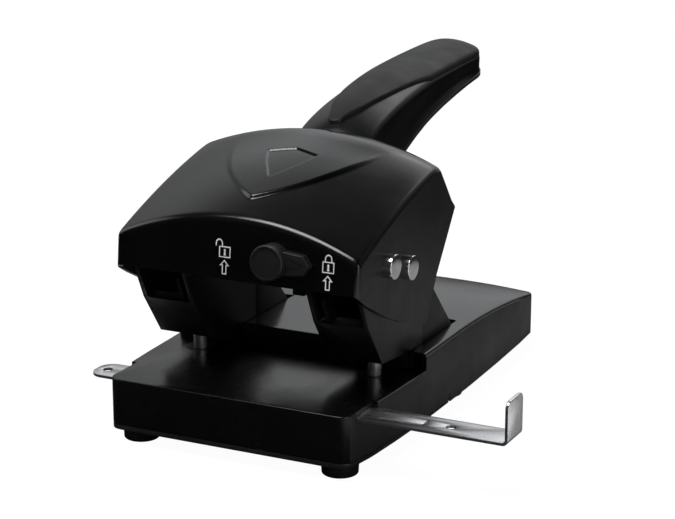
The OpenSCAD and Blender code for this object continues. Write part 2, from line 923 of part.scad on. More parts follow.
// Distance tubes that centre the lever between the punch frames
module fulcrum_spacers() {
    color(dark_steel)
    on_both_sides()
        difference() {
            rod_x(lever_hw + 0.1, frame_in - 0.3, fulcrum_y, fulcrum_z, shaft_r + 2);
            rod_x(lever_hw, frame_in, fulcrum_y, fulcrum_z, shaft_r + fit);
        }
}

// ---------------------------------------------------------------- lock

// Places its child on the hood front, with +Z along the knob axis, outwards
module at_knob() {
    translate([knob_x, knob_y, knob_z])
        rotate([90 - front_lean, 0, 0])
            children();
}

module lock_knob() {
    pointer = [[0, -5.2], [pointer_len - 2.6, -3.8], [pointer_len, 0], [pointer_len - 2.6, 3.8],
               [0, 5.2]];
    color(satin)
    at_knob()
        difference() {
            union() {
                translate([0, 0, gap])
                    cylinder(r = knob_d / 2, h = knob_h - 1 - gap, $fn = 64);
                translate([0, 0, knob_h - 1])
                    cylinder(r = knob_d / 2 - 0.8, h = 1, $fn = 64);
                translate([0, 0, gap])
                    linear_extrude(3.8)
                        polygon(pointer);
            }
            translate([0, 0, -1])
                cylinder(r = spindle_d / 2, h = 5, $fn = 48);
        }
}

module knob_spindle() {
    color(dark_steel)
    at_knob()
        difference() {
            translate([0, 0, -hood_t - 0.2 - cam_t])
                cylinder(r = spindle_d / 2, h = hood_t + 4 + 0.2 + cam_t, $fn = 48);
            translate([0, 0, -hood_t - 3 - cam_t])
                cylinder(r = 1, h = 5, $fn = 32);
        }
}

// Cam plate behind the hood front; its arm points the way the pointer does
module lock_cam() {
    color(dark_steel)
    at_knob()
        translate([0, 0, -hood_t - 0.2 - cam_t])
            difference() {
                linear_extrude(cam_t)
                    union() {
                        circle(r = spindle_d / 2 + 0.5, $fn = 48);
                        polygon([[0, -2.4], [cam_len, -2.4], [cam_len, 2.4], [0, 2.4]]);
                    }
                translate([0, 0, -1])
                    cylinder(r = spindle_d / 2, h = cam_t + 2, $fn = 48);
            }
}

module cam_screw() {
    color(steel)
    at_knob()
        translate([0, 0, -hood_t - 0.2 - cam_t]) {
            cylinder(r = 1, h = 1.8, $fn = 32);
            translate([0, 0, -1])
                cylinder(r = 2.6, h = 1, $fn = 48);
        }
}

// ---------------------------------------------------------------- paper guide

module paper_guide() {
    r = 6;
    mid = (guide_front + guide_back) / 2;
    hook_z = table_z + guide_hook - hook_r;
    color(nickel)
    difference() {
        union() {
            translate([0, 0, guide_low])
                linear_extrude(guide_t)
                    polygon(concat(
                        [[hook_x, guide_front], [hook_x, guide_back]],
                        [for (a = [90:15:180])
                            [r * cos(a) - guide_tail + r, guide_back - r + r * sin(a)]],
                        [for (a = [180:15:270])
                            [r * cos(a) - guide_tail + r, guide_front + r + r * sin(a)]]));
            translate([guide_set, 0, 0])
                rotate([90, 0, 90])
                    linear_extrude(guide_t)
                        polygon(concat(
                            [[guide_back, guide_low]],
                            [for (a = [0:30:90])
                                [guide_back - hook_r + hook_r * cos(a), hook_z + hook_r * sin(a)]],
                            [for (a = [90:30:180])
                                [guide_front + hook_r + hook_r * cos(a), hook_z + hook_r * sin(a)]],
                            [[guide_front, guide_low]]));
        }
        for (x = [-guide_tail + 5, guide_set - 24.5])
            rod_z(x, mid, 0, table_z, guide_hole_r);
        // sprung tongue, free at its right-hand end
        difference() {
            box([tongue[0], mid - tongue_hw - tongue_slot, 0],
                [tongue[1], mid + tongue_hw + tongue_slot, table_z]);
            box([tongue[0] - 1, mid - tongue_hw, -1],
                [tongue[1] - tongue_slot, mid + tongue_hw, table_z + 1]);
        }
    }
}

module guide_channel() {
    floor_z = guide_low - 0.2;
    ear = 9;
    color(satin)
    difference() {
        union() {
            box([-channel_x, guide_front - 2, floor_z - channel_t],
                [channel_x, guide_back + 2, floor_z]);
            box([-channel_x, guide_front - 2, floor_z - 1], [channel_x, guide_front - gap, table_under]);
            box([-channel_x, guide_back + gap, floor_z - 1], [channel_x, guide_back + 2, table_under]);
            on_both_sides()
                box([channel_bolt_x - 5, guide_back + 1, table_under - channel_t],
                    [channel_bolt_x + 5, guide_back + ear, table_under]);
        }
        on_both_sides()
            rod_z(channel_bolt_x, channel_bolt_y, 0, table_z, channel_screw_r + fit);
    }
}

module guide_screws() {
    color(dark_steel)
    on_both_sides() {
        rod_z(channel_bolt_x, channel_bolt_y, table_under - channel_t - eps, table_z - 0.9,
              channel_screw_r);
        rod_z(channel_bolt_x, channel_bolt_y, table_under - channel_t - 1.8,
              table_under - channel_t, 2.8);
    }
}

// ---------------------------------------------------------------- tray and feet

module chip_tray() {
    color(satin)
    difference() {
        union() {
            intersection() {
                base_block(0, foot_h, seam_front);
                across(-base_hw, base_hw)
                    polygon([[front_y - 1, foot_h], [rim_end, foot_h], [rim_end, seam_rear - 0.3],
                             [front_y - 1, seam_front - 0.3]]);
            }
            intersection() {
                base_block(tray_inset, foot_h, foot_h + tray_floor_t);
                box([-base_hw, front_y, 0], [base_hw, tray_end, table_z]);
            }
            intersection() {
                difference() {
                    base_block(tray_inset, foot_h, foot_h + chip_wall_h);
                    base_block(tray_inset + tray_floor_t, foot_h + 1, foot_h + chip_wall_h + 1);
                }
                box([-base_hw, front_y, 0], [base_hw, hinge_y - 2, table_z]);
            }
            intersection() {
                base_block(tray_inset, foot_h, foot_h + chip_wall_h);
                box([-base_hw, hinge_y - 3.4, 0], [base_hw, hinge_y - 2, table_z]);
            }
            on_both_sides() {
                rod_x(ear_in, ear_in + ear_t, hinge_y, hinge_z, ear_r);
                box([ear_in, hinge_y - 4, foot_h], [ear_in + ear_t, hinge_y, hinge_z + 0.5]);
            }
        }
        on_both_sides()
            rod_x(ear_in - 1, ear_in + ear_t + 1, hinge_y, hinge_z, hinge_d / 2 + fit);
    }
}

module tray_hinge_pins() {
    color(dark_steel)
    on_both_sides()
        rod_x(ear_in - 0.8, half_w(hinge_y) - 0.1, hinge_y, hinge_z, hinge_d / 2);
}

module foot(x, y) {
    color(rubber)
    translate([x, y, 0])
        rotate_extrude($fn = 64)
            polygon([[0, 0], [foot_d / 2 - 1.2, 0], [foot_d / 2 - 0.3, 0.8], [foot_d / 2, foot_h],
                     [0, foot_h]]);
}

base_shell();
rear_cover();
bottom_plate();
cover_bolts();
left_punch_frame();
right_punch_frame();
left_gusset();
right_gusset();
frame_bolts();
gusset_bolts();
tie_bar();
lock_catch();
die_bush(-1);  // left_die_bush
die_bush(1);  // right_die_bush
guide_bush(-1);  // left_guide_bush
guide_bush(1);  // right_guide_bush
return_spring(-1);  // left_return_spring
return_spring(1);  // right_return_spring
punch_pin(-1);  // left_punch_pin
punch_pin(1);  // right_punch_pin
punch_head(-1);  // left_punch_head
punch_head(1);  // right_punch_head
spring_seat(-1);  // left_spring_seat
spring_seat(1);  // right_spring_seat
hood_shell();
handle_shell();
handle_underside();
grip_pad();
lever_channel();
handle_screws();
fulcrum_shaft();
fulcrum_end_cap();
fulcrum_spacers();
drive_shaft();
drive_end_cap();
lock_knob();
knob_spindle();
lock_cam();
cam_screw();
paper_guide();
guide_channel();
guide_screws();
chip_tray();
tray_hinge_pins();
foot(-foot_x, front_foot_y);  // front_left_foot
foot(foot_x, front_foot_y);  // front_right_foot
foot(-foot_x, middle_foot_y);  // middle_left_foot
foot(foot_x, middle_foot_y);  // middle_right_foot
foot(-rear_foot_x, rear_foot_y);  // rear_left_foot
foot(rear_foot_x, rear_foot_y);  // rear_right_foot
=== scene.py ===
# %% [markdown]
# # A heavy two-hole punch around its CAD frame
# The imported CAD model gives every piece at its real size. This file gives the pieces their looks: shells
# with rounded edges, turned heads, wound springs, and finishes made from nodes. Every piece is modelled in
# millimetres, because a maker thinks in them, and is scaled to metres when it is finished.

# %% The frame
import math

import bmesh
import bpy
from mathutils import Matrix, Vector


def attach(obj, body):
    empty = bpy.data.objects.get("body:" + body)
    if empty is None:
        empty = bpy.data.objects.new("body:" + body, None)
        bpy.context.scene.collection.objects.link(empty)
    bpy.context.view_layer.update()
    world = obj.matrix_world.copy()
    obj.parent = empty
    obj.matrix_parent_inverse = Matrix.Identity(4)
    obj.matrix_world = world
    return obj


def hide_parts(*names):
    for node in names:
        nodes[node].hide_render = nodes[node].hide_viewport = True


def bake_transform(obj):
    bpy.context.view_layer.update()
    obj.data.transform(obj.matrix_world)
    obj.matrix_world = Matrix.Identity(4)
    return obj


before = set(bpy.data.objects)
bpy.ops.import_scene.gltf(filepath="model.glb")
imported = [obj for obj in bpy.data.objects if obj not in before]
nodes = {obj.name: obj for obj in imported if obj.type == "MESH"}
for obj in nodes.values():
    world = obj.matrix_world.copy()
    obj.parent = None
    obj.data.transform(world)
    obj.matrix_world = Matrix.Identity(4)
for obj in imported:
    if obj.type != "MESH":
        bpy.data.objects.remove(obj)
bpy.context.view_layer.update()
MM = 0.001

# %% [markdown]
# ## The camera
# The photograph was taken from the front right, a little above the punch, with a long lens. The camera's
# place and lens were fitted to corners of the base, its table and the hood, to two feet and to the two
# pins, which are taken to stand 80 mm apart.

# %% Camera
CAMERA_PLACE = (0.3780, -0.7201, 0.3015)
CAMERA_TURN = (74.079, 0.0, 26.204)
CAMERA_LENS, SENSOR_WIDTH = 112.0, 36.0

bpy.ops.object.camera_add(location=CAMERA_PLACE, rotation=[math.radians(a) for a in CAMERA_TURN])
camera = bpy.context.object
camera.data.lens = CAMERA_LENS
camera.data.sensor_width = SENSOR_WIDTH
bpy.context.scene.camera = camera
bpy.context.scene.view_settings.view_transform = "Standard"
print("camera", round(math.dist(CAMERA_PLACE, (0, 0, 0)), 3), "m from the origin")

# %% [markdown]
# ## One way to build nodes, and one way to write a colour
# A colour is written as a web hex code, as a colour card gives it, and turned to the linear light that
# shaders work in. `add_node` adds any node: a setting is either a property of the node or the value of
# one of its inputs, and a link feeds an input from another node. A colour ramp's stops are neither, so
# `set_stops` gives them to it.

# %% Colour and node helpers
def linear(code):
    parts = [int(code[i:i + 2], 16) / 255 for i in (1, 3, 5)]
    return [p / 12.92 if p <= 0.04045 else ((p + 0.055) / 1.055) ** 2.4 for p in parts] + [1.0]


def add_node(tree, kind, settings=None, links=None):
    made = tree.nodes.new(kind)
    for name, value in (settings or {}).items():
        if isinstance(name, str) and hasattr(made, name):
            setattr(made, name, value)
        else:
            made.inputs[name].default_value = value
    for name, socket in (links or {}).items():
        tree.links.new(socket, made.inputs[name])
    return made


def set_stops(ramp, stops, tint=(1, 1, 1)):
    """Gives a colour ramp its stops, each a place and a grey, in rising order of their places."""
    elements = ramp.color_ramp.elements
    elements[0].position, elements[1].position = stops[0][0], stops[-1][0]
    for place, _ in stops[1:-1]:
        elements.new(place)
    for element, (_, grey) in zip(elements, stops):
        element.color = [grey * part for part in tint] + [1]


# %% [markdown]
# ## The studio
# A black glossy thing shows what stands round it more than it shows its own colour, so the studio is
# arranged by what the surfaces mirror. The camera sees a white room. Every other ray sees a room that is
# pale behind the punch and up to half height, which is what the hood's roof and the rear cover mirror,
# and dark overhead, in front and to the right. It could be walls and paper round the punch, but a world
# shader gives the same picture with nothing to build: a ramp by height, dimmed along two axes.

# %% Room
# grey of the room by height, where 0 is level with the punch and 1 is overhead
ROOM_GREYS = [(0.0, 0.34), (0.25, 0.42), (0.50, 0.80), (0.60, 0.72), (0.68, 0.36), (0.77, 0.09),
              (1.0, 0.06)]
ROOM_TINT = (0.97, 0.985, 1.0)
# each fade: its axis, where it starts and ends, and the brightness at its start and at its end
ROOM_FADES = [("Y", -0.1, 0.45, 0.08, 1.5), ("X", 0.1, 0.6, 1.0, 0.12), ("X", -0.65, -0.35, 0.5, 1.0)]
WHITE = (1, 1, 1, 1)


def make_room():
    world = bpy.data.worlds.new("studio_room")
    bpy.context.scene.world = world
    world.use_nodes = True
    tree = world.node_tree
    tree.nodes.clear()
    direction = add_node(tree, "ShaderNodeTexCoord").outputs["Generated"]
    part = add_node(tree, "ShaderNodeSeparateXYZ", links={"Vector": direction}).outputs
    greys = add_node(tree, "ShaderNodeValToRGB", links={"Fac": part["Z"]})
    set_stops(greys, ROOM_GREYS, ROOM_TINT)
    strength = None
    for axis, start, end, low, high in ROOM_FADES:
        fade = add_node(tree, "ShaderNodeMapRange",
                        {"From Min": start, "From Max": end, "To Min": low, "To Max": high,
                         "interpolation_type": "SMOOTHSTEP"}, {"Value": part[axis]}).outputs["Result"]
        if strength:
            fade = add_node(tree, "ShaderNodeMath", {"operation": "MULTIPLY"},
                            {0: strength, 1: fade}).outputs["Value"]
        strength = fade
    seen = add_node(tree, "ShaderNodeBackground",
                    links={"Color": greys.outputs["Color"], "Strength": strength})
    white = add_node(tree, "ShaderNodeBackground", {"Color": WHITE, "Strength": 1.0})
    ray = add_node(tree, "ShaderNodeLightPath").outputs["Is Camera Ray"]
    mix = add_node(tree, "ShaderNodeMixShader", links={0: ray, 1: seen.outputs[0], 2: white.outputs[0]})
    add_node(tree, "ShaderNodeOutputWorld", links={"Surface": mix.outputs[0]})


make_room()
print(len(ROOM_GREYS), "greys by height and", len(ROOM_FADES), "fades in the room")

# %% [markdown]
# The punch stands on a white table top. The camera sees it mostly as a plain white glow, with a trace of
# the punch's shadow. The base and the flanks mirror it, and there it is another floor: a pale pool beside
# and behind the punch, dark elsewhere, and bright to the front right, which draws a light line down
# every right-hand corner. Cards laid on the table would do this in a real studio. Here the floor's
# colour changes for mirror rays alone, so that no card stands in the picture.

# %% Table top
FLOOR_SIZE = 30.0
FLOOR_GREY = (0.85, 0.85, 0.85, 1)
# the glow that camera rays see, and its share of what they see
FLOOR_GLOW, GLOW_SHARE = 1.10, 0.88
# greys of the pool in mirror images by their place along y, in metres, and the stretch the ramp spans
POOL_GREYS = [(-0.03, 0.03), (0.06, 0.42), (0.24, 0.42), (0.30, 0.03)]
POOL_START, POOL_END = -0.3, 0.7
# the bright floor sets in over these stretches of x and y
BRIGHT_X, BRIGHT_Y = (0.14, 0.18), (0.12, 0.04)


def mirrored_floor(tree):
    """Colour of the floor in mirror images."""
    place = add_node(tree, "ShaderNodeTexCoord").outputs["Object"]
    part = add_node(tree, "ShaderNodeSeparateXYZ", links={"Vector": place}).outputs
    along, right, front = (
        add_node(tree, "ShaderNodeMapRange", {"From Min": start, "From Max": end},
                 {"Value": part[axis]}).outputs["Result"]
        for axis, start, end in (("Y", POOL_START, POOL_END), ("X", *BRIGHT_X), ("Y", *BRIGHT_Y)))
    pool = add_node(tree, "ShaderNodeValToRGB", links={"Fac": along})
    set_stops(pool, [((y - POOL_START) / (POOL_END - POOL_START), grey) for y, grey in POOL_GREYS])
    bright = add_node(tree, "ShaderNodeMath", {"operation": "MULTIPLY"}, {0: right, 1: front})
    return add_node(tree, "ShaderNodeMixRGB", {"blend_type": "ADD", "Color2": WHITE},
                    {"Fac": bright.outputs["Value"], "Color1": pool.outputs["Color"]}).outputs["Color"]


def make_floor():
    bpy.ops.mesh.primitive_plane_add(size=FLOOR_SIZE)
    floor = bpy.context.object
    floor.name = "floor"
    material = bpy.data.materials.new("pale_table_top")
    material.use_nodes = True
    tree = material.node_tree
    tree.nodes.clear()
    ray = add_node(tree, "ShaderNodeLightPath").outputs
    paint = add_node(tree, "ShaderNodeMixRGB", {"Color1": FLOOR_GREY},
                     {"Fac": ray["Is Glossy Ray"], "Color2": mirrored_floor(tree)})
    lit = add_node(tree, "ShaderNodeBsdfDiffuse", links={"Color": paint.outputs["Color"]})
    glow = add_node(tree, "ShaderNodeEmission", {"Color": WHITE, "Strength": FLOOR_GLOW})
    share = add_node(tree, "ShaderNodeMath", {"operation": "MULTIPLY", 1: GLOW_SHARE},
                     {0: ray["Is Camera Ray"]})
    mix = add_node(tree, "ShaderNodeMixShader",
                   links={0: share.outputs["Value"], 1: lit.outputs[0], 2: glow.outputs[0]})
    add_node(tree, "ShaderNodeOutputMaterial", links={"Surface": mix.outputs[0]})
    floor.data.materials.append(material)


make_floor()
print("table top", FLOOR_SIZE, "m wide")

# %% [markdown]
# Four soft boxes light the punch. The one overhead is the strongest and draws the thin bright lines along
# the rounded edges. The others only lift the sides and the rear, so that the black parts keep their
# shape. They are area lamps, whose mirror image has straight edges like a real soft box's.

# %% Lamps
SOFT_BOXES = {
    # name: direction from the punch, distance, width, height, brightness of its face
    "overhead_box": ((-0.16, -0.34, 0.93), 0.95, 0.50, 0.38, 10.0),
    "left_box": ((-0.85, -0.15, 0.50), 1.3, 0.60, 0.60, 1.6),
    "right_box": ((0.86, -0.42, 0.30), 1.3, 0.50, 0.80, 2.5),
    "rear_box": ((0.10, 0.75, 0.66), 1.5, 0.80, 0.40, 1.2),
}
LOOK_AT = Vector((0, 0.03, 0.07))


def soft_box(name, direction, distance, width, height, brightness):
    place = LOOK_AT + Vector(direction).normalized() * distance
    bpy.ops.object.light_add(type="AREA", location=place)
    lamp = bpy.context.object
    lamp.name = name
    lamp.rotation_euler = (LOOK_AT - place).to_track_quat("-Z", "Y").to_euler()
    lamp.data.shape = "RECTANGLE"
    lamp.data.size = width
    lamp.data.size_y = height
    # a flat lamp's power is its brightness times pi times its area
    lamp.data.energy = brightness * math.pi * width * height


for name, values in SOFT_BOXES.items():
    soft_box(name, *values)
print(len(SOFT_BOXES), "soft boxes")

# %% [markdown]
# ## Finishes
# Most of this punch is black plastic and black paint, so the finishes differ in gloss and in texture, not
# in colour. One function makes a finish from three patterns in the object's own coordinates: a slow drift
# of the colour, a slow drift of the gloss, as fingers and cloths leave it, and one or two bumps.
# Each pattern's size is a real size in millimetres.

# %% The pattern finish
# nearly all values of a noise lie between these two
NOISE_LOW, NOISE_HIGH = 0.3, 0.7
# a finish's gloss drifts in patches of this share of its colour's patches
GLOSS_PATCH = 0.45
TONE_DETAIL, GLOSS_DETAIL, BUMP_DETAIL = 3.0, 4.0, 2.0


def pattern(tree, size, detail, stretch=(1, 1, 1)):
    """Noise whose patches are about size mm across; its scale counts them per metre."""
    place = add_node(tree, "ShaderNodeTexCoord").outputs["Object"]
    scaled = add_node(tree, "ShaderNodeMapping", {"Scale": stretch}, {"Vector": place})
    return add_node(tree, "ShaderNodeTexNoise", {"Scale": 1000 / size, "Detail": detail},
                    {"Vector": scaled.outputs["Vector"]}).outputs["Fac"]


def drift(tree, size, detail, low, high, stretch=(1, 1, 1)):
    """A value that wanders between low and high as such a pattern does."""
    return add_node(tree, "ShaderNodeMapRange",
                    {"From Min": NOISE_LOW, "From Max": NOISE_HIGH, "To Min": low, "To Max": high},
                    {"Value": pattern(tree, size, detail, stretch)}).outputs["Result"]


def finish(name, colours, roughnesses, size, bumps, metallic=0.0, specular=0.5, stretch=(1, 1, 1)):
    """colours and roughnesses are two ends of a drift, size mm across; a bump is a size and a depth."""
    material = bpy.data.materials.new(name)
    material.use_nodes = True
    tree = material.node_tree
    shader = tree.nodes["Principled BSDF"]
    shader.inputs["Metallic"].default_value = metallic
    if not metallic:
        shader.inputs["Specular IOR Level"].default_value = specular
    tone = add_node(tree, "ShaderNodeMixRGB", {"Color1": linear(colours[0]), "Color2": linear(colours[1])},
                    {"Fac": drift(tree, size, TONE_DETAIL, 0, 1)})
    tree.links.new(tone.outputs["Color"], shader.inputs["Base Color"])
    gloss = drift(tree, size * GLOSS_PATCH, GLOSS_DETAIL, *roughnesses, stretch)
    tree.links.new(gloss, shader.inputs["Roughness"])
    below = None
    for bump_size, depth in bumps:
        height = pattern(tree, bump_size, BUMP_DETAIL, stretch)
        bump = add_node(tree, "ShaderNodeBump", {"Strength": 1.0, "Distance": depth * MM},
                        {"Height": height})
        if below:
            tree.links.new(below, bump.inputs["Normal"])
        below = bump.outputs["Normal"]
    tree.links.new(below, shader.inputs["Normal"])
    return material


# %% [markdown]
# The hood and the rear cover are ABS from a polished mould, which gives a deep black with soft, slightly
# wavy mirror images. The hood's flanks and the knob come from a spark-eroded mould face, which gives an
# even fine grain and a grey sheen, and the handle's body from a finer one. The base is enamelled steel:
# glossy, with the faint orange peel of sprayed paint. Its side walls and the tray look duller, like a
# powder coat, and the frames carry a thinner satin enamel.

# %% Plastics, paints and rubber
FINISHES = {
    # polished ABS: near black, mirror-like with a soft blur, 3 mm waves of a cooling wall
    "gloss_abs": finish("polished_black_abs", ("#050506", "#080809"), (0.16, 0.22), 30,
                        [(3.0, 0.004), (0.6, 0.0006)]),
    # spark-eroded ABS: the grain is about 0.1 mm and is drawn at 0.5 mm so that it shows
    "satin_abs": finish("eroded_satin_abs", ("#161618", "#1d1d20"), (0.42, 0.52), 22,
                        [(0.5, 0.012), (1.6, 0.006)]),
    # the handle's body: less grain, which keeps its flank darker
    "handle_abs": finish("fine_satin_abs", ("#08080a", "#0e0e10"), (0.27, 0.35), 22,
                         [(0.5, 0.004), (1.6, 0.003)]),
    # soft-touch pad: closer and duller than the eroded face
    "grip_abs": finish("soft_touch_abs", ("#0f0f11", "#151518"), (0.50, 0.60), 26,
                       [(0.4, 0.010), (2.4, 0.006)], specular=0.45),
    # sprayed enamel on steel: orange peel about 1.5 mm across
    "enamel": finish("sprayed_black_enamel", ("#050506", "#09090a"), (0.22, 0.30), 35,
                     [(1.5, 0.004), (0.5, 0.001)], specular=0.4),
    # powder coat: fine leather-like grain
    "powder": finish("fine_powder_coat", ("#151517", "#1c1c1f"), (0.40, 0.50), 28,
                     [(0.6, 0.014), (1.8, 0.008)]),
    "frame_enamel": finish("satin_frame_enamel", ("#09090a", "#101012"), (0.30, 0.40), 18,
                           [(0.8, 0.006), (2.0, 0.004)], specular=0.4),
    "rubber": finish("moulded_rubber", ("#0c0c0c", "#141414"), (0.70, 0.85), 8,
                     [(0.4, 0.020), (1.5, 0.010)], specular=0.3),
    # screen-printed white ink, a little uneven
    "white_ink": finish("white_screen_ink", ("#d8d8d8", "#efefef"), (0.45, 0.60), 4,
                        [(0.3, 0.004)], specular=0.4),
}

# %% [markdown]
# The bright parts are steel. The paper guide is nickel plated over rolled strip, so it keeps faint
# lines along its length. The shaft heads are buffed, and the pins are ground, which leaves fine rings
# round them. Springs are drawn wire. The steel lever, the bolts and the other inside pieces are
# phosphated to a dark grey.

# %% Metals
FINISHES.update({
    "nickel": finish("nickel_plated_strip", ("#d6d6d8", "#e6e6e8"), (0.22, 0.32), 16,
                     [(0.35, 0.0012), (2.5, 0.003)], metallic=1.0, stretch=(0.08, 1, 1)),
    "polished": finish("buffed_steel", ("#dededf", "#ececee"), (0.08, 0.16), 5,
                       [(0.4, 0.0008), (2.0, 0.003)], metallic=1.0),
    "ground": finish("ground_tool_steel", ("#dedee0", "#ececee"), (0.44, 0.54), 5,
                     [(0.3, 0.0015)], metallic=1.0, stretch=(0.1, 0.1, 1)),
    "wire": finish("drawn_spring_wire", ("#8b8b8d", "#a4a4a6"), (0.25, 0.38), 4,
                   [(0.3, 0.003)], metallic=1.0),
    "phosphated": finish("phosphated_steel", ("#2b2b2c", "#3c3c3e"), (0.42, 0.58), 9,
                         [(0.3, 0.006)], metallic=1.0),
})
print(len(FINISHES), "finishes")

# %% [markdown]
# ## Ways of working
# Each operator acts on whatever is selected, so `only` clears the selection and takes one object, and
# `choose` picks faces, edges or corners of the open mesh by a test of their place or direction.

# %% Selection and modifier helpers
def clear():
    if bpy.context.object and bpy.context.object.mode != "OBJECT":
        bpy.ops.object.mode_set(mode="OBJECT")
    bpy.ops.object.select_all(action="DESELECT")


def only(*objects):
    clear()
    for obj in objects:
        obj.select_set(True)
    bpy.context.view_layer.objects.active = objects[0]


def edit(obj):
    only(obj)
    bpy.ops.object.mode_set(mode="EDIT")


def choose(kind, test):
    """Selects what passes the test in the open mesh, and returns how many passed."""
    bpy.ops.mesh.select_mode(type=kind)
    bpy.ops.mesh.select_all(action="DESELECT")
    mesh = bpy.context.object.data
    shape = bmesh.from_edit_mesh(mesh)
    passed = [item for item in {"VERT": shape.verts, "EDGE": shape.edges, "FACE": shape.faces}[kind]
              if test(item)]
    for item in passed:
        item.select_set(True)
    shape.select_flush_mode()
    bmesh.update_edit_mesh(mesh)
    return len(passed)


def middle(edge):
    return (edge.verts[0].co + edge.verts[1].co) / 2


def sharp(edge, degrees=35):
    return len(edge.link_faces) == 2 and edge.calc_face_angle() > math.radians(degrees)


def long_and_sharp(edge, length=1.0):
    return sharp(edge, 40) and edge.calc_length() > length


def is_rim(edge):
    """True on the open rim of a sheet."""
    return len(edge.link_faces) == 1


def modify(obj, kind, **settings):
    """Adds a modifier to the object and applies it."""
    only(obj)
    modifier = obj.modifiers.new(kind.lower(), kind)
    for name, value in settings.items():
        setattr(modifier, name, value)
    bpy.ops.object.modifier_apply(modifier=modifier.name)


def join(first, *others):
    only(first, *others)
    bpy.ops.object.join()
    return first


def cut(obj, cutter, operation="DIFFERENCE"):
    """Cuts, or joins, with another solid, which is then thrown away."""
    modify(obj, "BOOLEAN", object=cutter, operation=operation, solver="EXACT")
    bpy.data.objects.remove(cutter)


def everything_out():
    """Turns all faces of the open mesh outwards, and leaves them selected."""
    bpy.ops.mesh.select_all(action="SELECT")
    bpy.ops.mesh.normals_make_consistent(inside=False)


def face_out(obj):
    """Merges doubles, turns the faces outwards and leaves edit mode."""
    edit(obj)
    bpy.ops.mesh.select_all(action="SELECT")
    bpy.ops.mesh.remove_doubles(threshold=0.001)
    everything_out()
    only(obj)


def draw_out(distance):
    """Extrudes what is selected along z."""
    bpy.ops.mesh.extrude_region_move(TRANSFORM_OT_translate={"value": (0, 0, distance)})


def split(*planes):
    """Cuts the faces of the open mesh along planes, each a point and a normal."""
    for place, normal in planes:
        bpy.ops.mesh.select_all(action="SELECT")
        bpy.ops.mesh.bisect(plane_co=place, plane_no=normal)


# %% [markdown]
# Three starts serve nearly every piece. `turned` is a cylinder primitive. `flat` is a circle primitive
# with one corner for each corner of an outline. `sheet` is a grid primitive whose corners are laid on a
# curved surface. What follows them is the shaping: extrude, inset, bevel, spin, cut and thicken.

# %% Starts
def turned(name, radius, low, high, sides=64, at=(0, 0)):
    clear()
    bpy.ops.mesh.primitive_cylinder_add(vertices=sides, radius=radius, depth=high - low,
                                        location=(at[0], at[1], (low + high) / 2))
    obj = bpy.context.object
    obj.name = name
    bpy.ops.object.transform_apply(location=True, rotation=True, scale=True)
    return obj


def flat(name, outline):
    clear()
    bpy.ops.mesh.primitive_circle_add(vertices=len(outline), radius=1, fill_type="NGON")
    obj = bpy.context.object
    obj.name = name
    for corner, point in zip(obj.data.vertices, outline):
        corner.co = (point[0], point[1], 0)
    return obj


def plate(name, outline, low, high):
    """A plate of that outline from one height to another."""
    obj = flat(name, outline)
    obj.data.transform(Matrix.Translation((0, 0, low)))
    edit(obj)
    bpy.ops.mesh.select_all(action="SELECT")
    draw_out(high - low)
    face_out(obj)
    return obj


def sheet(name, columns, rows, surface):
    clear()
    bpy.ops.mesh.primitive_grid_add(x_subdivisions=len(columns) - 1, y_subdivisions=len(rows) - 1, size=1)
    obj = bpy.context.object
    obj.name = name
    for i, corner in enumerate(obj.data.vertices):
        corner.co = surface(columns[i % len(columns)], rows[i // len(columns)])
    return obj


def steps(low, high, count):
    return [low + (high - low) * i / count for i in range(count + 1)]


def lookup(points, at):
    """Height of a line of points at a place along it."""
    for (x0, y0), (x1, y1) in zip(points, points[1:]):
        if at <= x1:
            return y0 + (y1 - y0) * max(0.0, at - x0) / (x1 - x0)
    return points[-1][1]


def smooth_step(value, start, end):
    """0 up to start, 1 from end on, and an S-shaped rise between them."""
    share = min(1.0, max(0.0, (value - start) / (end - start)))
    return share * share * (3 - 2 * share)


def bend(points, t):
    """A point of the curve that four control points draw, with t from 0 to 1."""
    a, b, c, d = (Vector(p) for p in points)
    return a * (1 - t) ** 3 + b * 3 * (1 - t) ** 2 * t + c * 3 * (1 - t) * t ** 2 + d * t ** 3


# corners of a CAD copy this close, in mm, are one, and faces within this angle, in degrees, are one face
COPY_MERGE, COPY_FLAT = 0.002, 0.6


def solid_copy(node, name):
    """A new piece with a CAD node's shape, merged to whole faces, in millimetres."""
    obj = bpy.data.objects.new(name, nodes[node].data.copy())
    bpy.context.collection.objects.link(obj)
    obj.data.transform(Matrix.Scale(1 / MM, 4))
    only(obj)
    bpy.ops.mesh.customdata_custom_splitnormals_clear()
    edit(obj)
    bpy.ops.mesh.select_all(action="SELECT")
    bpy.ops.mesh.remove_doubles(threshold=COPY_MERGE)
    bpy.ops.mesh.dissolve_limited(angle_limit=math.radians(COPY_FLAT))
    return obj


def bevel(width, segments=2):
    bpy.ops.mesh.bevel(offset=width, segments=segments, affect="EDGES", clamp_overlap=False)


def dress(obj, finish_name, place=None, angle=32):
    """Puts a shaped piece in its place in metres, with its finish."""
    only(obj)
    if place:
        obj.data.transform(place)
    obj.data.transform(Matrix.Scale(MM, 4))
    bpy.ops.object.shade_smooth_by_angle(angle=math.radians(angle))
    if finish_name:
        obj.data.materials.clear()
        obj.data.materials.append(FINISHES[finish_name])
    print(obj.name, "-", sum(len(face.vertices) - 2 for face in obj.data.polygons), "triangles")


def done(obj, body, slot, finish_name, *replaced, place=None, angle=32):
    """Dresses a piece that rides on one body and stands for some CAD nodes."""
    dress(obj, finish_name, place, angle)
    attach(obj, body)
    if replaced:
        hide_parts(*replaced)


# Turns a piece drawn flat, as y and z, into the side view, with its thickness along x
SIDE_VIEW = Matrix(((0, 0, 1, 0), (1, 0, 0, 0), (0, 1, 0, 0), (0, 0, 0, 1)))

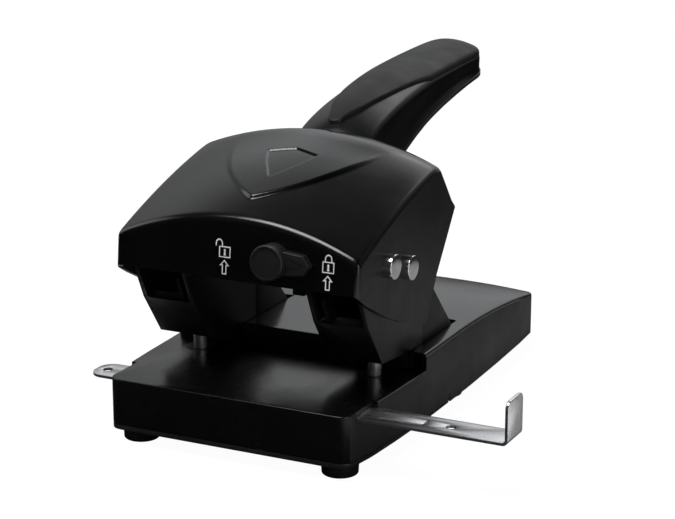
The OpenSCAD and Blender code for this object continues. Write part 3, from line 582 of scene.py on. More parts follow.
# %% [markdown]
# ## The hood
# The hood is one moulding: an arched roof, a front that carries the lock knob, and two flanks that reach
# down past the shafts. It is made as a skin first. A grid is laid on the roof, its front row is extruded
# down to make the front wall, and a flank with the lower outline is joined on. The skin is mirrored, its
# outer corners are rounded, and only then does it get its wall.

# %% Hood sizes
HOOD_HALF = 53.2
HOOD_WALL = 2.0
HOOD_ARCH = 10.8
HOOD_FILLET = 2.3
ROOF_RADIUS = (HOOD_HALF ** 2 + HOOD_ARCH ** 2) / (2 * HOOD_ARCH)
# side view of the hood: a point on each line as y and z, then its pitch in degrees
FRONT_LINE = (-42.8, 72.2, 83.9)
ROOF_LINE = (-41.5, 84.6, 17)
FALL_LINE = (31.6, 107.0, -18)
BACK_LINE = (39.1, 100.0, -52)
HOOD_REAR = 49.0
ROOF_PITCH = math.radians(ROOF_LINE[2])
# the flank's lower outline, from the front edge to the rear
FLANK = [FRONT_LINE[:2], (-40.3, 69.9), (-35.2, 66.8), (-18, 57.8), (-4.2, 51.7), (20.8, 43.5),
         (31, 62.1), (40, 74), (HOOD_REAR, 86.1)]
# the stretch of y over which the roof bulges, and by how much
ROOF_RUN, ROOF_BULGE = 67.5, 1.8
# how far before the crest and behind the knee the roof starts and stops turning
CREST_REACH, KNEE_REACH = 6.0, 4.0
NOTCH_Y, NOTCH_HALF = 36.6, 17.3


def arch(x):
    return math.sqrt(ROOF_RADIUS ** 2 - x * x) - (ROOF_RADIUS - HOOD_ARCH)


def meet(first, second, rise_1, rise_2):
    """Where two lines of the side view cross, each raised square to itself."""
    found = []
    for (y, z, pitch), rise in ((first, rise_1), (second, rise_2)):
        a = math.radians(pitch)
        found.append((y - math.sin(a) * rise, z + math.cos(a) * rise, math.cos(a), math.sin(a)))
    (y1, z1, c1, s1), (y2, z2, c2, s2) = found
    along = ((y2 - y1) * s2 - (z2 - z1) * c2) / (c1 * s2 - s1 * c2)
    return Vector((y1 + along * c1, z1 + along * s1))


def roof_bulge(y):
    """The roof rises this much above its straight line between its front edge and its crest."""
    t = min(1.0, max(0.0, (y - ROOF_LINE[0]) / ROOF_RUN))
    return 4 * ROOF_BULGE * t * (1 - t)


def roof_profile(x, row):
    """Row 0 is the front edge, 1 the start of the rounded crest, 2 its end, and 3 the rear edge."""
    rise = arch(x)
    front = meet(FRONT_LINE, ROOF_LINE, 0, rise)
    crest = meet(ROOF_LINE, FALL_LINE, rise, rise)
    knee = meet(FALL_LINE, BACK_LINE, rise, rise)
    rear = meet(BACK_LINE, (HOOD_REAR, 0, 90), rise, 0)
    start = crest + (front - crest).normalized() * CREST_REACH
    # the crest's curve sets off with the slope that the bulge ends with
    crest.y -= 4 * ROOF_BULGE / ROOF_RUN * CREST_REACH
    end = knee + (rear - knee).normalized() * KNEE_REACH
    if row <= 1:
        point = front.lerp(start, row)
        point.y += roof_bulge(point.x)
    elif row <= 2:
        point = bend((start, crest, knee, end), row - 1)
    else:
        point = end.lerp(rear, row - 2)
    return (x, point.x, point.y)


# %% [markdown]
# A raised panel like a shield runs down the roof, with a small recessed badge in it. Both are shallow
# relief, so they are drawn as a height over the plain roof, which follows its curve more easily than a
# cut would. Their outlines are measured in mm along the roof from its front edge, and the relief rises
# over a narrow band on either side of the outline.

# %% Relief of the roof
# the shield: where its tip lies, the half width it tends to, and how fast it gets there
SHIELD_TIP, SHIELD_WIDE, SHIELD_RUN = 17.7, 37.5, 27.5
# before its tip the distance to it grows with this slope, and the tip is rounded to this radius
TIP_SLOPE, TIP_ROUND = 1.2, 1.0
# its height at the tip, how fast it sinks, and the stretch over which it runs out
SHIELD_HIGH, SHIELD_SINK, SHIELD_FADE = 1.3, 24.0, (52, 70)
# the panel is flatter than the roof across its width, and loses that over this stretch
PANEL_FLAT, FLAT_FADE = 0.0019, (34, 70)
# width of the step round it at the tip, and what it gains per mm behind it
STEP_WIDE, STEP_GROWTH = 1.3, 0.035
# the badge: half widths of its two lower sides, its top edge with that edge's slope, and its depth
BADGE = [(33.2, 0.0), (34.2, 0.9), (38, 3.0), (43.5, 6.2), (49, 8.9), (54.5, 10.9)]
BADGE_TOP, BADGE_SLOPE = 58.3, 0.35
BADGE_DEPTH, BADGE_WALL = 0.6, 0.8
# what turns a distance along x, or along the roof, to one square to the badge's side, or to its top
SIDE_SQUARE, TOP_SQUARE = 0.87, 0.94


def along_roof(x, y):
    """Distance along the roof from its front edge."""
    return (y - ROOF_LINE[0] + arch(x) * math.sin(ROOF_PITCH)) / math.cos(ROOF_PITCH)


def inside_shield(x, s):
    """How far a point lies inside the shield's outline, in mm."""
    fade = math.exp(-max(0.0, s - SHIELD_TIP) / SHIELD_RUN)
    half = SHIELD_WIDE * (1 - fade) if s > SHIELD_TIP else (s - SHIELD_TIP) * TIP_SLOPE
    slope = SHIELD_WIDE / SHIELD_RUN * fade
    return (half - math.hypot(x, TIP_ROUND) + TIP_ROUND) / math.sqrt(1 + slope * slope)


def inside_badge(x, s):
    """How far a point lies inside the badge's outline, in mm."""
    x = abs(x)
    side = (lookup(BADGE, s) - x) * SIDE_SQUARE if s > BADGE[0][0] else s - BADGE[0][0] - x
    top = (BADGE_TOP - BADGE_SLOPE * x - s) * TOP_SQUARE
    return min(side, top)


def relief(x, s):
    """Height of the relief over the plain roof."""
    height = SHIELD_HIGH * math.exp(-(s - SHIELD_TIP) / SHIELD_SINK) * (1 - smooth_step(s, *SHIELD_FADE))
    height += PANEL_FLAT * x * x * (1 - smooth_step(s, *FLAT_FADE))
    half = (STEP_WIDE + STEP_GROWTH * max(0.0, s - SHIELD_TIP)) / 2
    raised = height * smooth_step(inside_shield(x, s), -half, half)
    return raised - BADGE_DEPTH * smooth_step(inside_badge(x, s), -BADGE_WALL / 2, BADGE_WALL / 2)


def roof_height(x, y):
    """Height of the plain arched roof at a place."""
    plane = ROOF_LINE[1] + (y - ROOF_LINE[0]) * math.tan(ROOF_PITCH) + arch(x) / math.cos(ROOF_PITCH)
    return plane + roof_bulge(y)


# %% Hood skin
# rows of the roof as roof_profile counts them: open where the corner roundings go, even between them
ROOF_ROWS = [0, 0.05] + steps(0.075, 0.93, 40) + [0.95, 1.0] + steps(1.12, 2.0, 7) + [2.5, 2.9, 3.0]
# the first column inside stands this far from the side, clear of its rounding
EDGE_COLUMN = 3.4


def on_front_edge(corner):
    return math.dist(corner.co, roof_profile(corner.co.x, 0)) < 0.01


def hood_skin():
    columns = [HOOD_HALF] + steps(HOOD_HALF - EDGE_COLUMN, 0, 30)
    roof = sheet("hood", columns, ROOF_ROWS, roof_profile)
    edit(roof)
    # the front row, extruded down to the lower edge of the front wall
    choose("EDGE", lambda e: all(on_front_edge(corner) for corner in e.verts))
    draw_out(-1)
    shape = bmesh.from_edit_mesh(roof.data)
    for corner in shape.verts:
        if corner.select:
            corner.co.yz = FRONT_LINE[:2]
    bmesh.update_edit_mesh(roof.data)
    # the flank, whose upper corners are those of the roof's side
    top = [roof_profile(HOOD_HALF, row)[1:] for row in ROOF_ROWS]
    flank = flat("flank", FLANK + top[::-1])
    flank.data.transform(Matrix.Translation((HOOD_HALF, 0, 0)) @ SIDE_VIEW)
    join(roof, flank)
    modify(roof, "MIRROR", use_axis=(True, False, False), use_clip=True, merge_threshold=0.01)
    face_out(roof)
    return roof


def hood_notch(hood):
    """Cuts the opening at the rear, where the handle comes out."""
    edit(hood)
    split(((0, NOTCH_Y, 0), (0, 1, 0)), ((NOTCH_HALF, 0, 0), (1, 0, 0)), ((-NOTCH_HALF, 0, 0), (1, 0, 0)))
    choose("FACE", lambda f: abs(f.calc_center_median().x) < NOTCH_HALF
           and f.calc_center_median().y > NOTCH_Y)
    bpy.ops.mesh.delete(type="FACE")


INSIDE, RIM = 1, 2
hood = hood_skin()
edit(hood)
rounded = choose("EDGE", lambda e: sharp(e, 50))
bevel(HOOD_FILLET, 5)
hood_notch(hood)
# the solidified skin carries material 0 outside, 1 inside and 2 on its rim
modify(hood, "SOLIDIFY", thickness=HOOD_WALL, offset=-1, use_even_offset=True, use_rim=True,
       material_offset=INSIDE, material_offset_rim=RIM)
print(rounded, "corner edges rounded,", len(hood.data.polygons), "faces in the hood")

# %% [markdown]
# The lower rim of the moulding gets a small radius. The roof is then split finely only where the relief
# has its steps, and every corner of the roof that lies in the panel is set to its height.

# %% Hood rim, holes and relief
# y and z of the two shafts
FULCRUM = (-16.7, 78.0)
DRIVE = (-0.3, 73.4)
SHAFT_RADIUS = 3.0
ON_AXIS = Matrix.Rotation(math.radians(90), 4, "Y")
# the knob stands square to the front, at this x and height
KNOB_X, KNOB_Z = 17.5, 82.0
front_pitch = math.radians(FRONT_LINE[2])
FRONT_TURN = Matrix.Rotation(front_pitch, 4, "X")
knob_y = FRONT_LINE[0] + (KNOB_Z - FRONT_LINE[1]) / math.tan(front_pitch)
KNOB_FRAME = Matrix.Translation((KNOB_X, knob_y, KNOB_Z)) @ FRONT_TURN
HOLE_SLACK = 0.05
SHAFT_CUT, SPINDLE_CUT = 70, 5
RIM_ROUND = 0.5
# a corner lies on the plain roof within this height
ON_ROOF = 0.08
# the relief is split within these distances of the two outlines, from this far before the shield's tip
# to this place along the roof
SHIELD_BAND, BADGE_BAND = 2.6, 1.4
BAND_START, BAND_END = SHIELD_TIP - 3, 71
# where the relief is set: before this y, and within this x
RELIEF_Y, RELIEF_X = 28, 45


def hood_holes():
    bores = []
    for y, z in (FULCRUM, DRIVE):
        bore = turned("bore", SHAFT_RADIUS + HOLE_SLACK, -SHAFT_CUT, SHAFT_CUT, 48)
        bore.data.transform(Matrix.Translation((0, y, z)) @ ON_AXIS)
        bores.append(bore)
    spindle = turned("bore", SHAFT_RADIUS + HOLE_SLACK, -SPINDLE_CUT, SPINDLE_CUT, 48)
    spindle.data.transform(KNOB_FRAME)
    return join(spindle, *bores)


def near_step(face):
    """True for roof faces that the outline of the shield or the badge runs through."""
    x, y, z = face.calc_center_median()
    if face.normal.z < 0.5 or abs(z - roof_height(x, y)) > ON_ROOF:
        return False
    s = along_roof(x, y)
    near_shield = BAND_START < s < BAND_END and abs(inside_shield(x, s)) < SHIELD_BAND
    return near_shield or abs(inside_badge(x, s)) < BADGE_BAND


edit(hood)
choose("EDGE", lambda e: sharp(e, 30) and sum(f.material_index == RIM for f in e.link_faces) == 1)
bevel(RIM_ROUND)
everything_out()
stepped = choose("FACE", near_step)
bpy.ops.mesh.subdivide(number_cuts=4, quadcorner="INNERVERT")
only(hood)
for corner in hood.data.vertices:
    x, y, z = corner.co
    if abs(z - roof_height(x, y)) < ON_ROOF and y < RELIEF_Y and abs(x) < RELIEF_X:
        corner.co.z = roof_height(x, y) + relief(x, along_roof(x, y))
cut(hood, hood_holes())
print(stepped, "roof faces split for the relief")

# %% [markdown]
# The roof and front are polished and the flanks are grained, so the finish follows the direction of each
# face: what looks sideways is grained. The wall inside the hood comes from the same grained mould, and
# it is known by the material number that it got with its thickness.

# %% Hood finish
# a face looks sideways when this much of its normal lies along x
SIDEWAYS = 0.97
done(hood, "lever", "hood_black", None, "hood_shell", angle=25)
inner = {i for i, face in enumerate(hood.data.polygons) if face.material_index == INSIDE}
hood.data.materials.clear()
for finish_name in ("gloss_abs", "satin_abs"):
    hood.data.materials.append(FINISHES[finish_name])
for i, face in enumerate(hood.data.polygons):
    face.material_index = int(i in inner or abs(face.normal.x) > SIDEWAYS)
print(len(inner), "faces inside the hood")

# %% [markdown]
# ## The handle
# The handle is a hollow moulding with a rounded end, closed below by an underside plate, and it carries a
# soft-touch pad. All three follow the same two lines of the side view: the top line that the palm
# feels, and the lower line. The rounded end is made by bending the last rows of a grid into a half
# disc, so that the faces stay four-sided right round it.

# %% Handle lines
# height of the base's table; the lines below are heights over it
TABLE = 27.0
NECK_HALF, GRIP_HALF = 17.0, 15.5
HANDLE_END, END_RADIUS = 177.8, 15.0
END_CENTRE = HANDLE_END - END_RADIUS
PAD_RISE = 1.8
# four control points of each curve, as y and height
TOP_BEND = [(38, 86.8), (47, 100), (106, 106), (165, 106.6)]
LOW_BEND = [(46, 54.5), (70, 70.5), (103, 84.5), (165, 90)]
# half widths of the body and of the pad along y
PLAN = [(14, NECK_HALF), (50, NECK_HALF), (80, 16.25), (105, GRIP_HALF), (135, GRIP_HALF),
        (END_CENTRE, END_RADIUS)]
PAD_PLAN = [(47, 3.4), (58, 7.4), (75, 10.4), (88, 12.0), (98, 13.2), (110, 15.0), (135, 15.2),
            (END_CENTRE, END_RADIUS - 0.2)]
# drop of the crowned top at END_RADIUS from its middle, and how much of it the rounded end has
CROWN = 4.5
END_CROWN = 0.6
# slope of the crowned top where its rounded shoulder starts
SHOULDER_START = math.radians(28)


def line_of(points, before, after):
    """A curve as a line of points, with straight stretches before and after it."""
    return before + [tuple(bend(points, t)) for t in steps(0, 1, 40)] + [after]


TOP_LINE = line_of(TOP_BEND, [(14, 75)], (185, 104.2))
LOW_LINE = line_of(LOW_BEND, [(14, 36), (30, 45)], (185, 94))


def top_height(x, y):
    """The handle's top, which is crowned across and round its end."""
    past = max(0.0, y - END_CENTRE)
    return TABLE + lookup(TOP_LINE, y) - CROWN * (x * x + END_CROWN * past * past) / END_RADIUS ** 2


def rounded_plan(plan, inset, across, along, front_disc=0.0):
    """across runs from -1 to 1, and along from 0 to 1, with a half disc past 1, and before 0 if asked."""
    y0, y1 = plan[0][0], plan[-1][0]
    if 0 <= along <= 1:
        y = y0 + (y1 - y0) * along
        return across * (lookup(plan, y) - inset(y)), y
    middle_y = y1 if along > 1 else y0
    radius = (plan[-1][1] if along > 1 else front_disc) - inset(middle_y)
    reach = along - 1 if along > 1 else along
    x = across * math.sqrt(1 - reach * reach / 2)
    y = reach * math.sqrt(1 - across * across / 2)
    return x * radius, middle_y + y * radius


def outwards(corner, front_y=-math.inf):
    """Direction away from the handle's middle line: radial round its ends, sideways between them."""
    x, y, _ = corner
    return Vector((x, max(0.0, y - END_CENTRE) + min(0.0, y - front_y), 0)).normalized()


def roll_edge(moves):
    """Extrudes the selected edge once for each move, which says where a corner goes."""
    for move in moves:
        bpy.ops.mesh.extrude_region_move()
        mesh = bpy.context.object.data
        shape = bmesh.from_edit_mesh(mesh)
        for corner in shape.verts:
            if corner.select:
                corner.co = move(corner.co.copy())
        bmesh.update_edit_mesh(mesh)


def round_over(radius, count, away, start=0.0):
    """Moves that roll an edge over from a slope to upright, away from the middle of the piece."""
    moves = []
    for i in range(count):
        a, b = (start + (math.pi / 2 - start) * k / count for k in (i, i + 1))
        out, drop = math.sin(b) - math.sin(a), math.cos(a) - math.cos(b)
        moves.append(lambda co, out=out, drop=drop:
                     co + (away(co) * out - Vector((0, 0, drop))) * radius(co.y))
    return moves


def roll_width(radius):
    """How far a roll that starts from the shoulder's slope reaches outwards."""
    return radius * (1 - math.sin(SHOULDER_START))


# %% [markdown]
# The body's skin is the top sheet with its edge rolled over the shoulder and down the flank. The flank
# leans in a little below the shoulder and flares out again to its lip, and the lean is nearly gone at
# the rounded end. A box with a bevel would have flat flanks, which mirror the room in one even grey.

# %% Handle body
HANDLE_WALL = 2.1
SHOULDER = 3.5
LIP_RISE = 1.6
# share of the way down the flank, and how far it leans in there
FLANK_STEPS = [(0.2, 0.25), (0.4, 0.75), (0.6, 1.0), (0.8, 0.75), (1.0, 0.0)]
# over this stretch of y the flank loses this share of its lean
STRAIGHT_Y, STRAIGHT_SHARE = (140, 168), 0.9


def handle_top(x, y):
    return (x, y, top_height(x, y) - PAD_RISE)


def down_flank():
    """Moves that carry the rolled edge down to the lip."""
    moves = []
    before, leant = 0.0, 0.0
    for share, lean in FLANK_STEPS:
        part, shift = (share - before) / (1 - before), leant - lean

        def move(co, part=part, shift=shift):
            lip = TABLE + lookup(LOW_LINE, co.y) + LIP_RISE
            kept = 1 - STRAIGHT_SHARE * smooth_step(co.y, *STRAIGHT_Y)
            return Vector((co.x, co.y, co.z + (lip - co.z) * part)) + outwards(co) * shift * kept

        moves.append(move)
        before, leant = share, lean
    return moves


# rows of the rounded end, which follow those of the straight part
END_ROWS = steps(1.08, 2, 11)
handle_body = sheet("handle_body", steps(-1, 1, 20), steps(0, 1, 80) + END_ROWS,
                    lambda across, along: handle_top(*rounded_plan(
                        PLAN, lambda y: roll_width(SHOULDER), across, along)))
edit(handle_body)
choose("EDGE", lambda e: is_rim(e) and middle(e).y > PLAN[0][0] + 0.1)
roll_edge(round_over(lambda y: SHOULDER, 5, outwards, SHOULDER_START) + down_flank())
face_out(handle_body)
modify(handle_body, "SOLIDIFY", thickness=HANDLE_WALL, offset=-1, use_even_offset=True, use_rim=True)
done(handle_body, "lever", "handle_black", "handle_abs", "handle_shell", angle=40)

# %% [markdown]
# The pad is a second sheet over the same top, 1.8 mm proud, with a blunt rounded tip that points at the
# hood. Near its tip the pad has a small edge radius. Towards the end it wraps over the shoulder of the
# body, so its radius grows there and its skirt reaches down to the rounded shoulder below it. It is taken
# to be moulded on, so its mesh is closed below and sinks a little into the body, and no gap shows.

# %% Grip pad
TIP_Y, TIP_RADIUS = PAD_PLAN[0]
SMALL_EDGE, WRAP_EDGE = 0.8, 2.6
# over this stretch of y the edge radius grows from the one to the other
WRAP_Y = (66, 122)
SKIRT_OVERLAP = 0.2


def pad_edge(y):
    return SMALL_EDGE + (WRAP_EDGE - SMALL_EDGE) * smooth_step(y, *WRAP_Y)


def pad_top(x, y):
    return (x, y, top_height(x, y))


def to_body(co):
    """Carries the pad's skirt down into the body, which falls away at its shoulder."""
    if co.y > END_CENTRE:
        inside = END_RADIUS - math.hypot(co.x, co.y - END_CENTRE)
    else:
        inside = lookup(PLAN, co.y) - abs(co.x)
    past = SHOULDER - min(SHOULDER, max(0.0, inside))
    fall = SHOULDER - math.sqrt(SHOULDER ** 2 - past ** 2)
    start = SHOULDER * (1 - math.cos(SHOULDER_START)) if past else 0.0
    height = top_height(co.x, co.y) - PAD_RISE - max(0.0, fall - start) - SKIRT_OVERLAP
    return Vector((co.x, co.y, min(co.z, height)))


TIP_ROWS = steps(-1, -0.1, 9)
pad = sheet("grip_cushion", steps(-1, 1, 18), TIP_ROWS + steps(0, 1, 60) + END_ROWS,
            lambda across, along: pad_top(*rounded_plan(
                PAD_PLAN, lambda y: roll_width(pad_edge(y)), across, along, TIP_RADIUS)))
edit(pad)
choose("EDGE", is_rim)
roll_edge(round_over(pad_edge, 4, lambda co: outwards(co, TIP_Y), SHOULDER_START) + [to_body])
bpy.ops.mesh.edge_face_add()
face_out(pad)
done(pad, "lever", "grip_black", "grip_abs", "grip_pad", angle=40)

# %% [markdown]
# The plate that closes the handle from below is a thin moulding that follows the lower line. The CAD
# shape already is that, so its copy only gets its edges eased, where they are long enough to be real ones.

# %% Underside plate
PLATE_ROUND, SHORTEST_EDGE = 0.25, 0.8

underside = solid_copy("handle_underside", "underside_plate")
choose("EDGE", lambda e: long_and_sharp(e, SHORTEST_EDGE))
bevel(PLATE_ROUND)
done(underside, "lever", "plate_black", "satin_abs", "handle_underside")

# %% [markdown]
# ## Lock knob
# The knob is a turned disc with a raised rim round a plain face, and a flat pointer with a bevelled edge.
# A fine V is engraved on the pointer. The disc and the pointer are one moulding, so they are united.

# %% Lock knob
KNOB_RADIUS = 7.0
KNOB_LOW, KNOB_HIGH = 0.3, 7.6
RIM_WIDE, FACE_DEEP = 1.1, 0.5
RIM_OUT_ROUND, RIM_IN_ROUND = 0.7, 0.15
POINTER = [(0, -5.2), (13.8, -3.8), (16.4, 0), (13.8, 3.8), (0, 5.2)]
POINTER_HIGH, POINTER_ROUND = 4.1, 0.4
ENGRAVED = [(7.7, -2.2), (14.1, 0.0), (7.7, 2.2), (7.7, 1.75), (12.8, 0.0), (7.7, -1.75)]
ENGRAVING_DEPTH = 0.25
BORE_TOP = 4.0


def on_top(edge, height):
    """True for an edge at the top of a piece of that height."""
    return middle(edge).z > height - 0.01


knob = turned("lock_knob", KNOB_RADIUS, KNOB_LOW, KNOB_HIGH, 96)
edit(knob)
choose("FACE", lambda f: f.normal.z > 0.9)
bpy.ops.mesh.inset(thickness=RIM_WIDE)
draw_out(-FACE_DEEP)
choose("EDGE", lambda e: sharp(e) and on_top(e, KNOB_HIGH) and middle(e).xy.length > KNOB_RADIUS - 0.2)
bevel(RIM_OUT_ROUND, 4)
choose("EDGE", lambda e: sharp(e) and on_top(e, KNOB_HIGH) and middle(e).xy.length < KNOB_RADIUS - 0.9)
bevel(RIM_IN_ROUND, 2)
pointer = plate("pointer", POINTER, KNOB_LOW, POINTER_HIGH)
edit(pointer)
choose("EDGE", lambda e: sharp(e, 25) and on_top(e, POINTER_HIGH))
bevel(POINTER_ROUND, 3)
cut(pointer, plate("engraving", ENGRAVED, POINTER_HIGH - ENGRAVING_DEPTH, POINTER_HIGH + 1))
cut(knob, pointer, "UNION")
cut(knob, turned("bore", SHAFT_RADIUS, -1, BORE_TOP, 48))
done(knob, "knob", "knob_black", "satin_abs", "lock_knob", place=KNOB_FRAME)

# %% [markdown]
# ## Lock signs
# An open and a closed padlock are printed on the front, each with an arrow below it, in thin white lines.
# A line figure is a flat outline, inset by the width of the line, with its middle taken out. The shackles
# are bands between two arcs.

# %% Lock signs
INK_LINE = 0.42
INK_THICK = 0.05
SHACKLE_IN, SHACKLE_OUT = 1.15, 1.57
LOCK_WIDE, LOCK_HIGH = 5.0, 4.4
# how far the shackle's arc stands over the lock, how much higher than round it is, and its legs' overlap
SHACKLE_RISE, SHACKLE_STRETCH, LEG_OVERLAP = 0.9, 1.2, 0.1
ARROW = [(-1.0, -6.6), (1.0, -6.6), (1.0, -3.2), (2.1, -3.2), (0, -0.8), (-2.1, -3.2), (-1.0, -3.2)]
KEYHOLE = [(-0.5, 0.8), (0.5, 0.8), (0.3, 2.3), (0.45, 3.0), (0, 3.5), (-0.45, 3.0), (-0.3, 2.3)]
FRONT_FRAME = Matrix.Translation((0, *FRONT_LINE[:2])) @ FRONT_TURN
# x of each sign's middle, height of the lock's foot over the front's lower edge, shift of its shackle
SIGNS = {"open_lock": (-4.2, 8.4, -2.5), "closed_lock": (40.3, 7.8, 0.0)}


def line_figure(name, outline):
    figure = flat(name, outline)
    edit(figure)
    bpy.ops.mesh.select_all(action="SELECT")
    bpy.ops.mesh.inset(thickness=INK_LINE, use_even_offset=True)
    bpy.ops.mesh.delete(type="FACE")
    return figure


def shackle(name, shift):
    """A bow between two arcs; an open one stands beside its lock."""
    foot = LOCK_HIGH - LEG_OVERLAP
    outer, inner = ([(radius * math.cos(a) + shift,
                      LOCK_HIGH + SHACKLE_RISE + radius * SHACKLE_STRETCH * math.sin(a))
                     for a in steps(0, math.pi, 12)] for radius in (SHACKLE_OUT, SHACKLE_IN))
    return flat(name, [(shift + SHACKLE_OUT, foot), *outer, (shift - SHACKLE_OUT, foot),
                       (shift - SHACKLE_IN, foot), *reversed(inner), (shift + SHACKLE_IN, foot)])


def lock_sign(name, x, low, shift):
    half = LOCK_WIDE / 2
    body = line_figure(name, [(-half, 0), (half, 0), (half, LOCK_HIGH), (-half, LOCK_HIGH)])
    keyhole = flat("keyhole", KEYHOLE)
    arrow = line_figure("arrow", ARROW)
    sign = join(body, shackle("shackle", shift), keyhole, arrow)
    edit(sign)
    bpy.ops.mesh.select_all(action="SELECT")
    draw_out(INK_THICK)
    everything_out()
    done(sign, "lever", "hood_black", "white_ink", place=FRONT_FRAME @ Matrix.Translation((x, low, 0)))


for name, (x, low, shift) in SIGNS.items():
    lock_sign(name, x, low, shift)

# %% [markdown]
# ## Shafts, pins and springs
# The two shafts have turned heads, whose faces are slightly domed and polished. They are plain cylinders
# whose end face is scaled out to the head, drawn out again and rounded. The end caps are the same heads
# with a blind bore.

# %% Shafts and caps
# along the shaft: the rod's far end, and where the head starts and ends
ROD_FROM, HEAD_FROM, HEAD_TO = -56.2, 53.3, 57.2
HEAD_RADIUS, HEAD_ROUND = 5.0, 0.45
# the head's face is domed in two steps: how far in, and how far up
DOME = ((1.0, 0.10), (1.6, 0.08))
HEAD_FLAT = HEAD_TO - sum(rise for _, rise in DOME)


def dome_head():
    """Rounds the edge of the head and raises its face."""
    choose("EDGE", lambda e: sharp(e, 60) and on_top(e, HEAD_FLAT))
    bevel(HEAD_ROUND, 4)
    choose("FACE", lambda f: f.normal.z > 0.99 and f.calc_area() > 20)
    for inset, rise in DOME:
        bpy.ops.mesh.inset(thickness=inset)
        bpy.ops.transform.translate(value=(0, 0, rise))


def shaft(name, y, z):
    rod = turned(name, SHAFT_RADIUS, ROD_FROM, HEAD_FROM)
    edit(rod)
    choose("FACE", lambda f: f.normal.z > 0.9)
    draw_out(0)
    grow = HEAD_RADIUS / SHAFT_RADIUS
    bpy.ops.transform.resize(value=(grow, grow, 1), center_override=(0, 0, HEAD_FROM))
    draw_out(HEAD_FLAT - HEAD_FROM)
    dome_head()
    done(rod, "lever", "polished_steel", "polished", name, place=Matrix.Translation((0, y, z)) @ ON_AXIS)


def end_cap(name, y, z):
    cap = turned(name, HEAD_RADIUS, HEAD_FROM, HEAD_FLAT)
    edit(cap)
    dome_head()
    cut(cap, turned("bore", SHAFT_RADIUS, HEAD_FROM - 1, -ROD_FROM))
    turn = Matrix.Rotation(math.pi, 4, "Z")
    done(cap, "lever", "polished_steel", "polished", name,
         place=turn @ Matrix.Translation((0, -y, z)) @ ON_AXIS)


for name, (y, z) in {"fulcrum": FULCRUM, "drive": DRIVE}.items():
    shaft(name + "_shaft", y, z)
    end_cap(name + "_end_cap", y, z)

# %% [markdown]
# Each pin is a ground steel cylinder. Its lower end cuts the paper, and only its edges are eased, so that
# they catch a fine light line.

# %% Punch pins
# x of the two holes
SIDES = {"left": -40.0, "right": 40.0}
PIN_RADIUS, PIN_LOW, PIN_HIGH = 2.75, 25.6, 69.4
PIN_ROUND = 0.2

for side, x in SIDES.items():
    pin = turned(side + "_pin", PIN_RADIUS, PIN_LOW, PIN_HIGH, at=(x, 0))
    edit(pin)
    choose("EDGE", lambda e: sharp(e, 60))
    bevel(PIN_ROUND)
    done(pin, side + "_punch", "tool_steel", "ground", side + "_punch_pin")

# %% [markdown]
# Each spring is a small ring carried up a helix by the screw modifier. The modifier gives an even pitch,
# so the rings are then moved to the real heights: close at both ends, and open between. The lower end
# stands on the base and the upper end moves with the punch.

# %% Return springs
WIRE, COIL_RADIUS, TURNS = 1.3, 5.3, 7
# the drawn wire is this much thinner, so that it touches neither seat
WIRE_SLACK = 0.01
RING_SIDES, RINGS_PER_TURN = 14, 48
# heights of the seats, and of the wire's middle at both ends
SEAT_LOW, SEAT_HIGH = 41.6, 64.0
SPRING_LOW, SPRING_HIGH = SEAT_LOW + WIRE / 2, SEAT_HIGH - WIRE / 2
# the first and the last turn lie this close
END_PITCH = WIRE + 0.5
OPEN_PITCH = (SPRING_HIGH - SPRING_LOW - 2 * END_PITCH) / (TURNS - 2)


def coil_height(turn):
    """Height of the wire's middle after so many turns."""
    if turn < 1:
        return SPRING_LOW + END_PITCH * turn
    if turn > TURNS - 1:
        return SPRING_HIGH - END_PITCH * (TURNS - turn)
    return SPRING_LOW + END_PITCH + OPEN_PITCH * (turn - 1)


def spring(side, x):
    clear()
    bpy.ops.mesh.primitive_circle_add(vertices=RING_SIDES, radius=WIRE / 2 - WIRE_SLACK)
    coil = bpy.context.object
    coil.name = side + "_spring"
    coil.data.transform(Matrix.Translation((COIL_RADIUS, 0, 0)) @ Matrix.Rotation(math.pi / 2, 4, "X"))
    pitch = (SPRING_HIGH - SPRING_LOW) / TURNS
    modify(coil, "SCREW", angle=2 * math.pi, iterations=TURNS, steps=RINGS_PER_TURN,
           screw_offset=pitch, use_merge_vertices=False, use_smooth_shade=True)
    for i, corner in enumerate(coil.data.vertices):
        turn = (i // RING_SIDES) / RINGS_PER_TURN
        corner.co.z += coil_height(turn) - pitch * turn
    edit(coil)
    choose("EDGE", is_rim)
    bpy.ops.mesh.fill_holes(sides=0)
    face_out(coil)
    dress(coil, "wire", place=Matrix.Translation((x, 0, 0)), angle=60)
    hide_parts(side + "_return_spring")
    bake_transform(coil)


for side, x in SIDES.items():
    spring(side, x)

# %% [markdown]
# ## Rubber feet
# A foot is a disc that narrows towards the desk, with a rounded tread and a shallow cup in its middle. The
# photograph hides its underside. Such a cup is usual, and two insets of the lower face draw it.

# %% Feet
FOOT_RADIUS, FOOT_TREAD, FOOT_HIGH = 7.5, 7.2, 5.9
TREAD_ROUND = 0.8
# width of the rim that stands on the desk, then of the cup's slope, and the cup's depth
FOOT_RIM, CUP_SLOPE, CUP_DEPTH = 2.4, 0.6, 0.5
FEET = {"front_left": (-44.5, -40.2), "front_right": (44.5, -40.2), "middle_left": (-44.5, 61.8),
        "middle_right": (44.5, 61.8), "rear_left": (-32, 117.8), "rear_right": (32, 117.8)}

